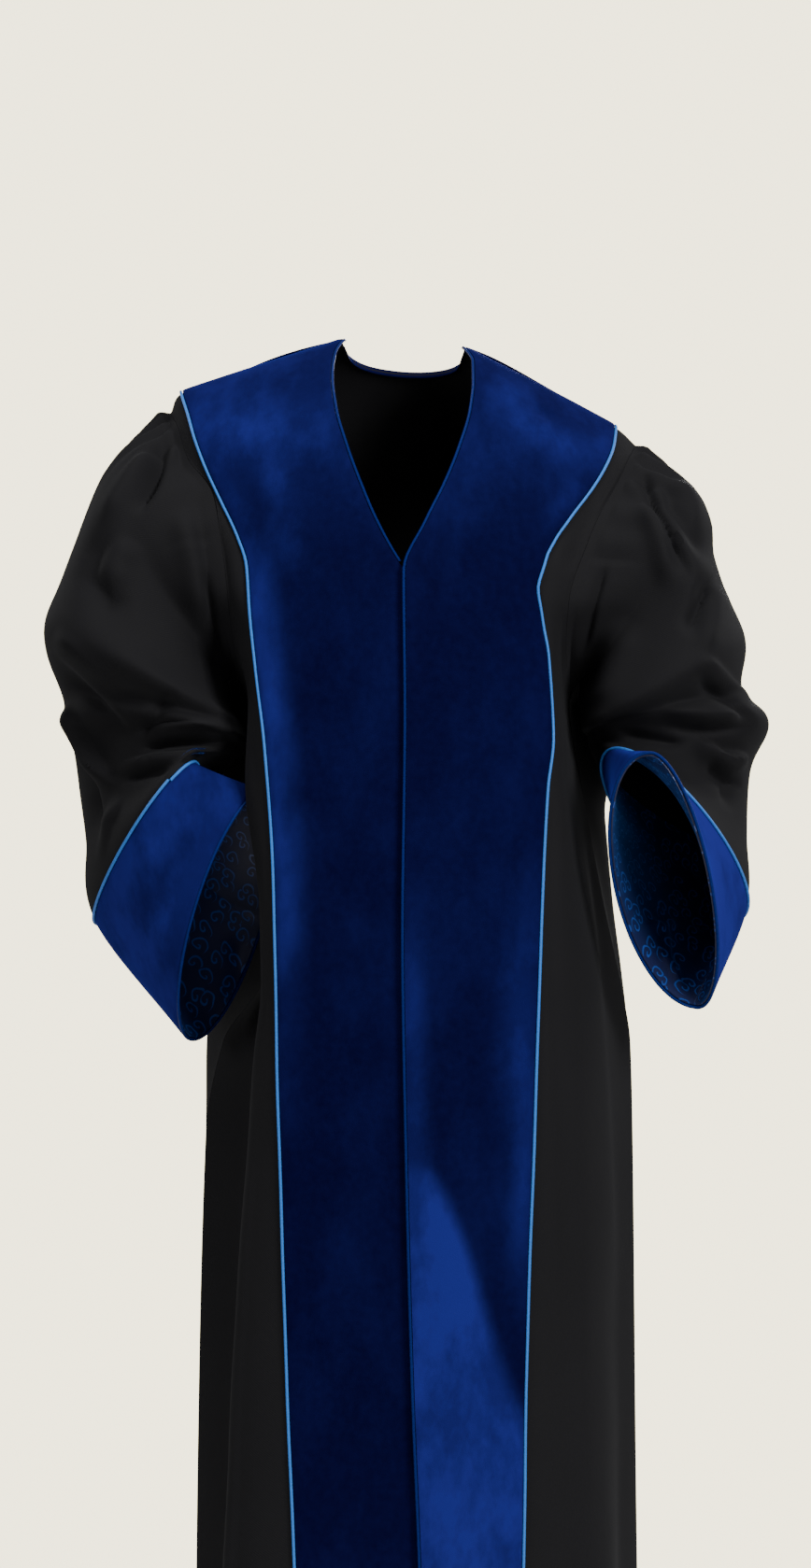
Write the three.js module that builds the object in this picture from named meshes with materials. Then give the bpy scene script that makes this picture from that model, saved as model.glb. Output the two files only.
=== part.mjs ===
// A judge's robe, as worn: black cloth, wide velvet bands down the fronts, velvet yoke and cuffs,
// satin piping, gathered sleeve heads. Millimetres, +Z up, the front faces -Y.
// The origin is the middle of the neck opening at the height of the shoulder line.
import * as THREE from 'three';

// ---- driving sizes -------------------------------------------------------------------------
const HEM = -1300;            // hem below the neck
const UNDERARM = -318;        // where the side seams start
const CLOTH = 1.6;            // black cloth, turned and pressed
const VELVET = 2.2;           // velvet with its pile
const LINING = 1.2;
const SEAM = 0.3;             // gap between pieces at a seam
const EDGE_GAP = 0.45;        // each panel stops this far from its seam line
const CUFF_GAP = 0.8;         // more at the cuff's top, which turns sharply under its piping
const PIPING_R = 1.9;
const CORD_R = 1.8;
const LAP = 16;               // how far the right front runs under the left
const LAP_LIFT = 6.6;         // the left front rides this far above it
const CHEST_DEPTH = 122;      // how far the chest stands before the shoulder line
const BACK_DEPTH = 124;       // and the shoulder blades behind it
const NECK_DIP = 22;          // the back of the neck lies this far below the shoulder line
const NECK_DIP_ENDS = 200;    // the dip has faded out this far down the back
const YOKE_LIFT = 0.9;        // the yoke rides over the turned shoulder seam
const YOKE_ROWS = 7;          // armhole rows that the yoke covers
const HEAD_TUCK = 8;          // a sleeve first carries on in the body's surface this far
const TUCK_RISE = 1.5;        // and rises this much there
const PLEAT = 5.5;            // depth of the gathers at a sleeve's head
const NECK_CORD_ENDS = -190;  // the right front's edge is corded down to here
const AROUND = 20;            // columns round a sleeve; half of them share the armhole rows
const CORD_SIDES = 5;
const PIPING_SHIFT = 0.9;     // the cuff's piping lies this far into the cuff's edge

// ---- colours -------------------------------------------------------------------------------
const colour = {
  cloth: new THREE.MeshStandardMaterial({ color: 0x202022, roughness: 0.85, metalness: 0 }),
  velvet: new THREE.MeshStandardMaterial({ color: 0x06205a, roughness: 0.95, metalness: 0 }),
  satin: new THREE.MeshStandardMaterial({ color: 0x5aa0d8, roughness: 0.4, metalness: 0 }),
  cord: new THREE.MeshStandardMaterial({ color: 0x12357e, roughness: 0.5, metalness: 0 }),
  brocade: new THREE.MeshStandardMaterial({ color: 0x07163c, roughness: 0.5, metalness: 0 }),
};

// ---- small maths ---------------------------------------------------------------------------
const clamp = (v, low, high) => Math.min(high, Math.max(low, v));
const mix = (a, b, t) => a + (b - a) * t;
const ramp = (v, from, to) => {
  const t = clamp((v - from) / (to - from), 0, 1);
  return t * t * (3 - 2 * t);
};

// A smooth value through knots (xs rising), without overshoot.
function through(xs, ys, x) {
  const last = xs.length - 1;
  if (x <= xs[0]) return ys[0];
  if (x >= xs[last]) return ys[last];
  let i = 0;
  while (x > xs[i + 1]) i += 1;
  const slope = (k) => (ys[k + 1] - ys[k]) / (xs[k + 1] - xs[k]);
  const tangent = (k) => {
    if (k === 0) return slope(0);
    if (k === last) return slope(last - 1);
    const before = slope(k - 1);
    const after = slope(k);
    return before * after <= 0 ? 0 : (2 * before * after) / (before + after);
  };
  const w = xs[i + 1] - xs[i];
  const t = (x - xs[i]) / w;
  const t2 = t * t;
  const t3 = t2 * t;
  return (2 * t3 - 3 * t2 + 1) * ys[i] + (t3 - 2 * t2 + t) * w * tangent(i)
    + (3 * t2 - 2 * t3) * ys[i + 1] + (t3 - t2) * w * tangent(i + 1);
}

// A smooth curve through points at rising stations; a short span next to a long one stays taut.
const TIGHT = 1.5;
function spline(stations, points, s) {
  const last = points.length - 1;
  const at = clamp(s, stations[0], stations[last]);
  let i = 0;
  while (i < last - 1 && at > stations[i + 1]) i += 1;
  const tangent = (k) => {
    const a = Math.max(k - 1, 0);
    const b = Math.min(k + 1, last);
    const d = points[b].clone().sub(points[a]).divideScalar(stations[b] - stations[a]);
    if (a === k || b === k) return d;
    const before = points[k].distanceTo(points[a]) / (stations[k] - stations[a]);
    const after = points[b].distanceTo(points[k]) / (stations[b] - stations[k]);
    return d.clampLength(0, TIGHT * Math.min(before, after));
  };
  const w = stations[i + 1] - stations[i];
  const t = (at - stations[i]) / w;
  const t2 = t * t;
  const t3 = t2 * t;
  return points[i].clone().multiplyScalar(2 * t3 - 3 * t2 + 1)
    .addScaledVector(tangent(i), (t3 - 2 * t2 + t) * w)
    .addScaledVector(points[i + 1], 3 * t2 - 2 * t3)
    .addScaledVector(tangent(i + 1), (t3 - t2) * w);
}

const V = (x, y, z) => new THREE.Vector3(x, y, z);

// ---- the shoulder line and how it fades down the body ----------------------------------------
// A point's "drop" is its depth below the shoulder line; lower down it is simply its height.
const shoulderX = [-225, -208, -197, -169, -140, -111, -78, -55, -20, 20, 52, 88, 125, 163, 183, 204, 222];
const shoulderZ = [-92, -61, -43, -27, -20, -19, -9, 3, 6, 4, -4, -22, -41, -58, -72, -90, -112];
const shoulder = (x) => through(shoulderX, shoulderZ, x);
const FADE = 350;
const heightAt = (x, drop) => drop + shoulder(x) * (1 - ramp(-drop, 0, FADE));
function dropAt(x, z) {
  let drop = z - shoulder(x);
  for (let i = 0; i < 24; i += 1) drop = z - shoulder(x) * (1 - ramp(-drop, 0, FADE));
  return Math.min(0, drop);
}
// Turns a line of [x, z] points into x as a function of drop.
function lineOnFront(points) {
  const rows = points.map(([x, z]) => [dropAt(x, z), x]).sort((a, b) => b[0] - a[0]);
  const xs = rows.map((r) => -r[0]);
  const ys = rows.map((r) => r[1]);
  return (drop) => through(xs, ys, -drop);
}

// ---- seam lines seen from the front, [x, z] ----------------------------------------------------
const centreLine = [[0, -210], [1, -327], [-1, -516], [2, -702], [7, -888], [13, -1039], [20, HEM]];
const neckRight = [[-55, 3], [-63, -13], [-65, -33], [-61, -67], [-51, -102], [-39, -135], [-25, -168],
  [0, -210]];
const neckLeft = [[52, -4], [60, -20], [60, -39], [57, -67], [47, -102], [34, -135], [18, -168], [0, -210]];
const pipingRight = [[-197, -43], [-189, -66], [-182, -89], [-172, -115], [-156, -149], [-142, -179],
  [-134, -203], [-131, -240], [-125, -295], [-117, -359], [-109, -485], [-105, -657], [-99, -844],
  [-91, -1042], [-82, HEM]];
const pipingLeft = [[185, -75], [182, -94], [172, -117], [161, -135], [143, -159], [128, -180], [117, -201],
  [112, -223], [115, -247], [120, -290], [123, -350], [118, -394], [113, -485], [107, -657], [100, -844],
  [96, -1042], [92, HEM]];

// ---- armholes, front half and back half: x, y and drop ------------------------------------------
const armholes = {
  right: {
    front: {
      x: [-208, -200, -190, -166, -160, -153, -150, -146, -143],
      y: [0, -22, -42, -66, -76, -82, -66, -38, 0],
      drop: [0, -30, -72, -122, -156, -214, -252, -290, UNDERARM],
    },
    back: {
      x: [-208, -202, -192, -182, -176, -168, -158, -148, -143],
      y: [0, 26, 46, 66, 80, 86, 74, 42, 0],
      drop: [0, -30, -72, -122, -170, -220, -262, -298, UNDERARM],
    },
  },
  left: {
    front: {
      x: [204, 196, 185, 166, 154, 140, 138, 140, 143],
      y: [0, -22, -42, -66, -76, -84, -68, -38, 0],
      drop: [0, -22, -58, -116, -158, -216, -254, -290, UNDERARM],
    },
    back: {
      x: [204, 199, 190, 180, 172, 164, 155, 147, 143],
      y: [0, 26, 46, 66, 80, 86, 74, 42, 0],
      drop: [0, -26, -66, -118, -170, -220, -262, -298, UNDERARM],
    },
  },
};
function armholePoint(side, half, drop) {
  const t = armholes[side][half];
  const stations = t.drop.map((d) => -d);
  const x = through(stations, t.x, -drop);
  return V(x, through(stations, t.y, -drop), heightAt(x, drop));
}

// ---- the body below the arms: one row for each level ---------------------------------------------
// Each row gives x and y where the section turns. On the right the front folds over a tuck.
const levels = [-330, -400, -500, -560, -620, -700, -1000, HEM];
const sections = {
  centreY: [-125, -128, -137, -139, -143, -146, -155, -160],
  right: {
    foldX: [-128, -122, -120, -123, -128, -133, -149, -159],
    foldY: [-92, -95, -98, -100, -102, -104, -108, -112],
    tuckX: [-122, -107, -103, -106, -112, -117, -134, -147],
    tuckY: [-52, -52, -52, -53, -55, -56, -60, -62],
    sideX: [-143, -116, -112, -124, -162, -177, -184, -187],
    sideY: [0, 10, 8, 14, 12, 6, 0, 0],
    rearX: [-150, -166, -174, -177, -178, -174, -172, -174],
    rearY: [94, 106, 102, 98, 98, 104, 122, 138],
  },
  left: {
    foldX: [138, 139, 143, 147, 151, 152, 155, 157],
    foldY: [-88, -92, -98, -102, -105, -108, -112, -116],
    sideX: [145, 157, 176, 189, 199, 201, 204, 208],
    sideY: [0, 2, 2, 2, 0, 0, 0, 0],
    rearX: [150, 174, 185, 189, 191, 190, 188, 190],
    rearY: [94, 102, 100, 100, 102, 106, 126, 142],
  },
  backX: [96, 98, 100, 101, 102, 104, 108, 112],
  backY: [120, 132, 140, 144, 149, 156, 176, 192],
  backCentreY: [126, 140, 149, 153, 158, 165, 184, 200],
};
const atLevel = (column, z) => through(levels.map((l) => -l), column, -z);

// Chest and shoulder blades: how far the cloth stands forward or back of the shoulder line.
function roundShare(x, drop) {
  const half = mix(228, 190, ramp(-drop, 0, 300));
  return Math.pow(1 - Math.pow(Math.min(0.985, Math.abs(x) / half), 2.3), 1 / 2.3);
}
function capShare(drop, reach, power) {
  const t = clamp(-drop / reach, 0, 1);
  return Math.pow(Math.sqrt(1 - (1 - t) * (1 - t)), power);
}
const chestY = (x, drop) => -CHEST_DEPTH * roundShare(x, drop) * capShare(drop, 330, 1.15);
const bladeY = (x, drop) => BACK_DEPTH * roundShare(x, drop) * capShare(drop, 164, 1);

// ---- the big folds of the skirt: place across the panel, half width, how proud at the hem -----------
const frontFolds = {
  right: [{ at: 0.53, wide: 0.05, proud: 4, from: -600 }],
  left: [
    { at: 0.62, wide: 0.05, proud: -6, from: -430 }, { at: 0.78, wide: 0.07, proud: 9, from: -600 },
    { at: 0.9, wide: 0.05, proud: -7, from: -560 },
  ],
};
const backFolds = [
  { at: -0.8, wide: 0.1, proud: 16, from: -520 }, { at: -0.63, wide: 0.09, proud: -17, from: -430 },
  { at: -0.46, wide: 0.1, proud: 15, from: -240 }, { at: -0.26, wide: 0.1, proud: -17, from: -200 },
  { at: -0.07, wide: 0.09, proud: 15, from: -170 }, { at: 0.12, wide: 0.1, proud: -18, from: -170 },
  { at: 0.31, wide: 0.1, proud: 15, from: -210 }, { at: 0.52, wide: 0.1, proud: -15, from: -260 },
  { at: 0.72, wide: 0.11, proud: 17, from: -450 },
];
function foldLift(folds, f, drop) {
  return folds.reduce((sum, fold) => {
    const across = (f - fold.at) / fold.wide;
    const grow = ramp(-drop, -fold.from, -HEM + 250);
    return sum + fold.proud * grow * Math.exp(-across * across);
  }, 0);
}

// ---- panels as functions: f runs across the piece, drop runs down it ----------------------------------
const BAND = 0.46;            // f at the velvet band's outer edge
const underLap = [[LAP, -224], ...centreLine.slice(1).map(([x, z]) => [x + LAP, z])];
const neckLine = {
  right: lineOnFront([...neckRight, ...underLap]),
  left: lineOnFront([...neckLeft, ...centreLine.slice(1)]),
};
const bandLine = { right: lineOnFront(pipingRight), left: lineOnFront(pipingLeft) };

function frontUpper(side, f, drop) {
  const inner = neckLine[side](drop);
  const outer = bandLine[side](drop);
  const place = (x) => V(x, chestY(x, drop), heightAt(x, drop));
  const edge = armholePoint(side, 'front', Math.max(drop, UNDERARM));
  edge.z = heightAt(edge.x, drop);
  return spline([0, BAND / 2, BAND, 1], [place(inner), place((inner + outer) / 2), place(outer), edge], f);
}
function frontLower(side, f, drop) {
  const at = (column) => atLevel(column, drop);
  const own = sections[side];
  const inner = neckLine[side](drop);
  const outer = bandLine[side](drop);
  const foldX = at(own.foldX);
  const y0 = at(sections.centreY);
  const y1 = mix(y0, at(own.foldY), 0.34);
  const middle = V((inner + outer) / 2, mix(y0, y1, 0.3), drop);
  const stations = [0, BAND / 2, BAND];
  const points = [V(inner, y0, drop), middle, V(outer, y1, drop)];
  if (own.tuckX) {
    stations.push(0.62, 0.8, 1);
    points.push(V(foldX, at(own.foldY), drop), V(at(own.tuckX), at(own.tuckY), drop));
  } else {
    stations.push(0.7, 1);
    points.push(V(foldX, at(own.foldY), drop));
  }
  points.push(V(at(own.sideX), at(own.sideY), drop));
  return spline(stations, points, f);
}
function front(side, f, drop) {
  const share = ramp(-drop, 250, 400);
  const p = frontUpper(side, f, drop).lerp(frontLower(side, f, drop), share);
  const out = V(p.x * 0.7, p.y, 0).normalize();
  p.addScaledVector(out, foldLift(frontFolds[side], f, drop));
  if (side === 'left') {
    const nearEdge = 1 - ramp(p.x - neckLine.left(drop), 22, 66);
    p.y -= LAP_LIFT * nearEdge * ramp(-drop, 120, 196);
  }
  return p;
}

function back(f, drop) {
  const right = armholePoint('right', 'back', Math.max(drop, UNDERARM));
  const left = armholePoint('left', 'back', Math.max(drop, UNDERARM));
  [right, left].forEach((edge) => { edge.z = heightAt(edge.x, drop); });
  const stations = [-1, -0.62, -0.3, 0, 0.3, 0.62, 1];
  const upper = stations.map((s) => {
    const x = s < 0 ? -s * right.x : s * left.x;
    return V(x, bladeY(x, drop), heightAt(x, drop));
  });
  upper[0] = right;
  upper[6] = left;
  const at = (column) => atLevel(column, drop);
  const lower = [
    V(at(sections.right.sideX), at(sections.right.sideY), drop),
    V(at(sections.right.rearX), at(sections.right.rearY), drop),
    V(-at(sections.backX), at(sections.backY), drop),
    V(0, at(sections.backCentreY), drop),
    V(at(sections.backX), at(sections.backY), drop),
    V(at(sections.left.rearX), at(sections.left.rearY), drop),
    V(at(sections.left.sideX), at(sections.left.sideY), drop),
  ];
  const p = spline(stations, upper, f).lerp(spline(stations, lower, f), ramp(-drop, 250, 400));
  const seam = 1 - ramp(Math.abs(f), 0.9, 1);
  const out = V(p.x * 0.5, p.y + 40, 0).normalize();
  return p.addScaledVector(out, foldLift(backFolds, f, drop) * seam);
}

// ---- grids and walls --------------------------------------------------------------------------------
// A grid is { points, normals }, both [row][column]. Normals point out of the garment.
function gridOf(rows, columns, place, outward) {
  const step = 0.002;
  const points = rows.map((r) => columns.map((c) => place(c, r)));
  const normals = rows.map((r) => columns.map((c) => {
    const c0 = Math.max(c - step, columns[0]);
    const c1 = Math.min(c + step, columns[columns.length - 1]);
    const across = place(c1, r).sub(place(c0, r));
    const down = place(c, r - 2).sub(place(c, Math.min(r + 2, rows[0])));
    return across.cross(down).normalize().multiplyScalar(outward);
  }));
  return { points, normals };
}

function solidFrom(vertices, faces) {
  const geometry = new THREE.BufferGeometry();
  const numbers = new Float32Array(vertices.flatMap((v) => [v.x, v.y, v.z]));
  geometry.setAttribute('position', new THREE.BufferAttribute(numbers, 3));
  const corners = faces.map((face) => face.map((i) => vertices[i]));
  const volume = corners.reduce((sum, [a, b, c]) => sum + a.dot(b.clone().cross(c)), 0);
  geometry.setIndex(faces.flatMap(([a, b, c]) => (volume > 0 ? [a, b, c] : [a, c, b])));
  geometry.computeVertexNormals();
  return geometry;
}

// A closed wall between two offsets of a grid; round grids wrap from the last column to the first.
function wall(grid, inner, outer, round = false) {
  const rows = grid.points.length;
  const columns = grid.points[0].length;
  const vertices = [];
  [outer, inner].forEach((offset) => grid.points.forEach((row, r) => row.forEach((p, c) => {
    vertices.push(p.clone().addScaledVector(grid.normals[r][c], offset));
  })));
  const id = (layer, r, c) => layer * rows * columns + r * columns + (c % columns);
  const faces = [];
  const quad = (a, b, c, d) => faces.push([a, b, c], [a, c, d]);
  const spans = round ? columns : columns - 1;
  for (let r = 0; r < rows - 1; r += 1) {
    for (let c = 0; c < spans; c += 1) {
      quad(id(0, r, c), id(0, r + 1, c), id(0, r + 1, c + 1), id(0, r, c + 1));
      const [p, q, s, t] = [id(1, r, c), id(1, r + 1, c), id(1, r + 1, c + 1), id(1, r, c + 1)];
      faces.push([p, s, q], [p, t, s]);
    }
    if (!round) {
      quad(id(0, r, 0), id(1, r, 0), id(1, r + 1, 0), id(0, r + 1, 0));
      const e = columns - 1;
      quad(id(0, r, e), id(0, r + 1, e), id(1, r + 1, e), id(1, r, e));
    }
  }
  for (let c = 0; c < spans; c += 1) {
    quad(id(0, 0, c), id(0, 0, c + 1), id(1, 0, c + 1), id(1, 0, c));
    const e = rows - 1;
    quad(id(0, e, c), id(1, e, c), id(1, e, c + 1), id(0, e, c + 1));
  }
  return solidFrom(vertices, faces);
}

// A cord of round section along centres; each centre has two directions across it.
function cord(path, radius, sides, closed = false) {
  const angles = Array.from({ length: sides }, (_, k) => ((k + 0.5) * 2 * Math.PI) / sides);
  const vertices = path.flatMap(({ centre, out, across }) => angles.map((angle) => (
    centre.clone().addScaledVector(out, radius * Math.cos(angle))
      .addScaledVector(across, radius * Math.sin(angle))
  )));
  const id = (i, k) => (i % path.length) * sides + (k % sides);
  const faces = [];
  const spans = closed ? path.length : path.length - 1;
  for (let i = 0; i < spans; i += 1) {
    for (let k = 0; k < sides; k += 1) {
      faces.push([id(i, k), id(i + 1, k), id(i + 1, k + 1)], [id(i, k), id(i + 1, k + 1), id(i, k + 1)]);
    }
  }
  if (!closed) {
    for (let k = 1; k < sides - 1; k += 1) {
      faces.push([id(0, 0), id(0, k), id(0, k + 1)]);
      faces.push([id(path.length - 1, 0), id(path.length - 1, k + 1), id(path.length - 1, k)]);
    }
  }
  return solidFrom(vertices, faces);
}

const part = new THREE.Group();
function add(name, geometry, material) {
  const mesh = new THREE.Mesh(geometry, material);
  mesh.name = name;
  part.add(mesh);
}

// ---- fronts ---------------------------------------------------------------------------------------
const turn = (k) => (k / AROUND) * 2 * Math.PI;
const armholeDrop = (k) => (UNDERARM * (1 - Math.cos(turn(k)))) / 2;
const drops = [...Array.from({ length: AROUND / 2 + 1 }, (_, k) => armholeDrop(k)),
  -370, -440, -520, -625, -780, -960, -1130, HEM];
const bandColumns = [0, 0.12, 0.24, 0.35, BAND];
const sideColumns = [0.53, 0.62, 0.71, 0.8, 0.9, 1];

// Pulls a grid's edge columns and its top row in, so that neighbours stay apart.
function trimmed(grid, { first = 0, last = 0, top = 0 }) {
  const rows = grid.points.length;
  const end = grid.points[0].length - 1;
  const pull = (p, toward, by) => p.addScaledVector(toward.clone().sub(p).normalize(), by);
  for (let r = 0; r < rows; r += 1) {
    const row = grid.points[r];
    if (first) pull(row[0], row[1], first);
    if (last) pull(row[end], row[end - 1], last);
  }
  if (top) {
    grid.points[0].forEach((p, c) => {
      const slope = (shoulder(p.x + 2) - shoulder(p.x - 2)) / 4;
      if (Math.abs(p.y) < 1) grid.normals[0][c].set(-slope, 0, 1).normalize();
      pull(p, grid.points[1][c], top);
    });
  }
  return grid;
}

const across = (grid, r, c) => {
  const row = grid.points[r];
  return row[Math.min(c + 1, row.length - 1)].clone().sub(row[Math.max(c - 1, 0)]).normalize();
};

['right', 'left'].forEach((side) => {
  const outward = side === 'right' ? 1 : -1;
  const columns = [...bandColumns, ...sideColumns];
  const panel = gridOf(drops, columns, (f, drop) => front(side, f, drop), outward);
  trimmed(panel, { last: EDGE_GAP, top: EDGE_GAP });
  add(`front_${side}`, wall(panel, -CLOTH / 2, CLOTH / 2), colour.cloth);

  const last = bandColumns.length - 1;
  const band = {
    points: panel.points.map((row) => row.slice(0, last + 1).map((p) => p.clone())),
    normals: panel.normals.map((row) => row.slice(0, last + 1)),
  };
  trimmed(band, { last: SEAM });
  add(`velvet_band_${side}`, wall(band, CLOTH / 2 + SEAM, CLOTH / 2 + SEAM + VELVET), colour.velvet);

  const pipe = panel.points.map((row, r) => {
    const out = panel.normals[r][last];
    const sideways = across(panel, r, last);
    const centre = row[last].clone().addScaledVector(sideways, PIPING_R + SEAM)
      .addScaledVector(out, CLOTH / 2 + SEAM + PIPING_R);
    return { centre, out, across: sideways };
  });
  add(`piping_front_${side}`, cord(pipe, PIPING_R, CORD_SIDES), colour.satin);

  // The corded edge stands at the neck and, on the left front, down the opening.
  const upTo = side === 'left' ? drops.length : drops.findIndex((d) => d < NECK_CORD_ENDS);
  const edge = panel.points.slice(0, upTo).map((row, r) => {
    const out = panel.normals[r][0];
    const sideways = across(panel, r, 0);
    const centre = row[0].clone().addScaledVector(sideways, -(CORD_R + SEAM))
      .addScaledVector(out, CLOTH / 2 + SEAM);
    return { centre, out, across: sideways };
  });
  add(`edge_cord_${side}`, cord(edge, CORD_R, CORD_SIDES), colour.cord);
});

// ---- back, its velvet yoke, piping and neck cord -----------------------------------------------------
const NECK_F = 0.262;         // f of the neck points on the back
const neckDip = (f) => -NECK_DIP * Math.sqrt(Math.max(0, 1 - (f / NECK_F) ** 2));
const backDrop = (f, drop) => drop + neckDip(f) * (1 - ramp(-drop, 0, NECK_DIP_ENDS));
const backColumns = [-1, -0.9, -0.78, -0.66, -0.56, -0.46, -0.36, -0.26, -0.17, -0.08, 0.02, 0.12, 0.22, 0.32,
  0.43, 0.54, 0.66, 0.78, 0.89, 1];
const backPanel = gridOf(drops, backColumns, (f, drop) => back(f, backDrop(f, drop)), 1);
trimmed(backPanel, { first: EDGE_GAP, last: EDGE_GAP, top: EDGE_GAP });
add('back', wall(backPanel, -CLOTH / 2, CLOTH / 2), colour.cloth);

const yokeEnds = [1, backColumns.length - 1];
const yoke = {
  points: backPanel.points.slice(0, YOKE_ROWS).map((row) => row.slice(...yokeEnds).map((p) => p.clone())),
  normals: backPanel.normals.slice(0, YOKE_ROWS).map((row) => row.slice(...yokeEnds)),
};
add('velvet_yoke', wall(yoke, CLOTH / 2 + YOKE_LIFT, CLOTH / 2 + YOKE_LIFT + VELVET), colour.velvet);

const down = (grid, r, c) => {
  const last = grid.points.length - 1;
  return grid.points[Math.min(r + 1, last)][c].clone().sub(grid.points[Math.max(r - 1, 0)][c]).normalize();
};
// Round the yoke: down one side, along its lower edge and up the other.
const lowRow = YOKE_ROWS - 1;
const [firstColumn, afterColumn] = yokeEnds;
const lastColumn = afterColumn - 1;
const yokeRoute = [
  ...Array.from({ length: lowRow }, (_, r) => [r, firstColumn, -1, 0]),
  [lowRow, firstColumn, -1, 1],
  ...Array.from({ length: lastColumn - firstColumn - 1 }, (_, k) => [lowRow, firstColumn + 1 + k, 0, 1]),
  [lowRow, lastColumn, 1, 1],
  ...Array.from({ length: lowRow }, (_, r) => [lowRow - 1 - r, lastColumn, 1, 0]),
];
const yokePipe = yokeRoute.map(([r, c, sideways, downward]) => {
  const out = backPanel.normals[r][c];
  const away = across(backPanel, r, c).multiplyScalar(sideways)
    .addScaledVector(down(backPanel, r, c), downward);
  const centre = backPanel.points[r][c].clone().addScaledVector(away, PIPING_R + SEAM)
    .addScaledVector(out, CLOTH / 2 + YOKE_LIFT + PIPING_R);
  return { centre, out, across: away.normalize() };
});
add('piping_yoke', cord(yokePipe, PIPING_R, CORD_SIDES), colour.satin);

const neckColumns = backColumns.map((f, c) => c).filter((c) => Math.abs(backColumns[c]) < NECK_F - 0.03);
const neckPipe = neckColumns.map((c) => {
  const out = backPanel.normals[0][c];
  const away = down(backPanel, 0, c).multiplyScalar(-1);
  const centre = backPanel.points[0][c].clone().addScaledVector(away, CORD_R + SEAM)
    .addScaledVector(out, CLOTH / 2 + SEAM);
  return { centre, out, across: away };
});
add('edge_cord_back', cord(neckPipe, CORD_R, CORD_SIDES), colour.cord);

// ---- sleeves: rings from the armhole to the mouth --------------------------------------------------
// Each ring has an outer and an inner point, and how far its front and back stand from its middle.
// The last two rings are the cuff's top and the mouth.
const sleeveRings = {
  right: [
    { out: [-262, 5, -118], in: [-170, 0, -288], front: [-12, -90, 8], back: [12, 92, -8] },
    { out: [-302, 12, -208], in: [-160, -4, -320], front: [-6, -104, 4], back: [8, 102, -4] },
    { out: [-320, 22, -275], in: [-144, -14, -338], front: [2, -108, 6], back: [0, 100, -4] },
    { out: [-302, 40, -330], in: [-138, -25, -354], front: [0, -95, 15], back: [2, 88, -12] },
    { out: [-297, 52, -378], in: [-146, -32, -360], front: [-5, -80, 20], back: [4, 76, -20] },
    { out: [-287, 45, -445], in: [-158, -52, -364], front: [-8, -72, 18], back: [10, 68, -20] },
    { out: [-276, 22, -514], in: [-182, -84, -372], front: [-5, -66, 10], back: [12, 62, -14] },
    { out: [-190, -38, -612], in: [-121, -60, -399], front: [-22, -60, 18], back: [24, 60, -18] },
  ],
  left: [
    { out: [252, 3, -141], in: [166, 0, -288], front: [12, -88, 8], back: [-12, 90, -8] },
    { out: [283, 8, -228], in: [162, -4, -322], front: [5, -102, 4], back: [-6, 100, -4] },
    { out: [300, 18, -292], in: [160, -14, -340], front: [0, -106, 6], back: [0, 98, -4] },
    { out: [317, 35, -340], in: [160, -16, -346], front: [0, -94, 14], back: [0, 86, -12] },
    { out: [309, 44, -385], in: [161, -20, -351], front: [6, -82, 16], back: [-2, 72, -16] },
    { out: [303, 34, -445], in: [165, -32, -356], front: [16, -68, 14], back: [-8, 58, -18] },
    { out: [294, 4, -510], in: [176, -68, -362], front: [26, -56, 12], back: [-22, 44, -14] },
    { out: [247, -93, -580], in: [206, -145, -364], front: [31, -18, -8], back: [-50, 14, 4] },
  ],
};
const SLEEVE_ROWS = [0, 0.22, 0.6, 1.1, 1.7, 2.4, 3, 3.7, 4.3, 5, 5.6, 6.2, 7, 8, 8.5, 9];
const CUFF_ROWS = [9, 9.5, 10];
// The armhole seam point for column k, with the body's surface normal and the way out of the body.
function armholeFrame(side, k) {
  const isFront = k <= AROUND / 2;
  const sign = side === 'right' ? -1 : 1;
  const place = (share, drop) => (isFront ? front(side, share, drop) : back(sign * share, drop));
  const drop = armholeDrop(k);
  const step = 3;
  const edge = place(1, drop);
  const inside = place(0.97, drop).sub(edge);
  const alongEdge = place(1, Math.max(UNDERARM, drop - step)).sub(place(1, Math.min(0, drop + step)));
  const normal = alongEdge.clone().cross(inside).normalize().multiplyScalar(isFront ? -sign : sign);
  const away = normal.clone().cross(alongEdge).normalize();
  if (away.dot(inside) > 0) away.negate();
  return { edge, normal, away };
}
function seamFrames(side) {
  const frames = Array.from({ length: AROUND }, (_, k) => armholeFrame(side, k));
  const sign = side === 'right' ? -1 : 1;
  frames[0].normal.set(sign * 0.25, 0, 1).normalize();
  frames[0].away.set(sign, 0, -0.3).normalize();
  frames[AROUND / 2].normal.set(sign, 0, 0);
  frames[AROUND / 2].away.set(sign * 0.1, 0, 1).normalize();
  return frames;
}

const ring = (row, k) => {
  const angle = turn(k);
  const outer = V(...row.out);
  const inner = V(...row.in);
  const reach = Math.sin(angle);
  return outer.clone().add(inner).multiplyScalar(0.5)
    .addScaledVector(outer.sub(inner), Math.cos(angle) / 2)
    .addScaledVector(V(...(reach > 0 ? row.front : row.back)), Math.abs(reach));
};

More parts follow.
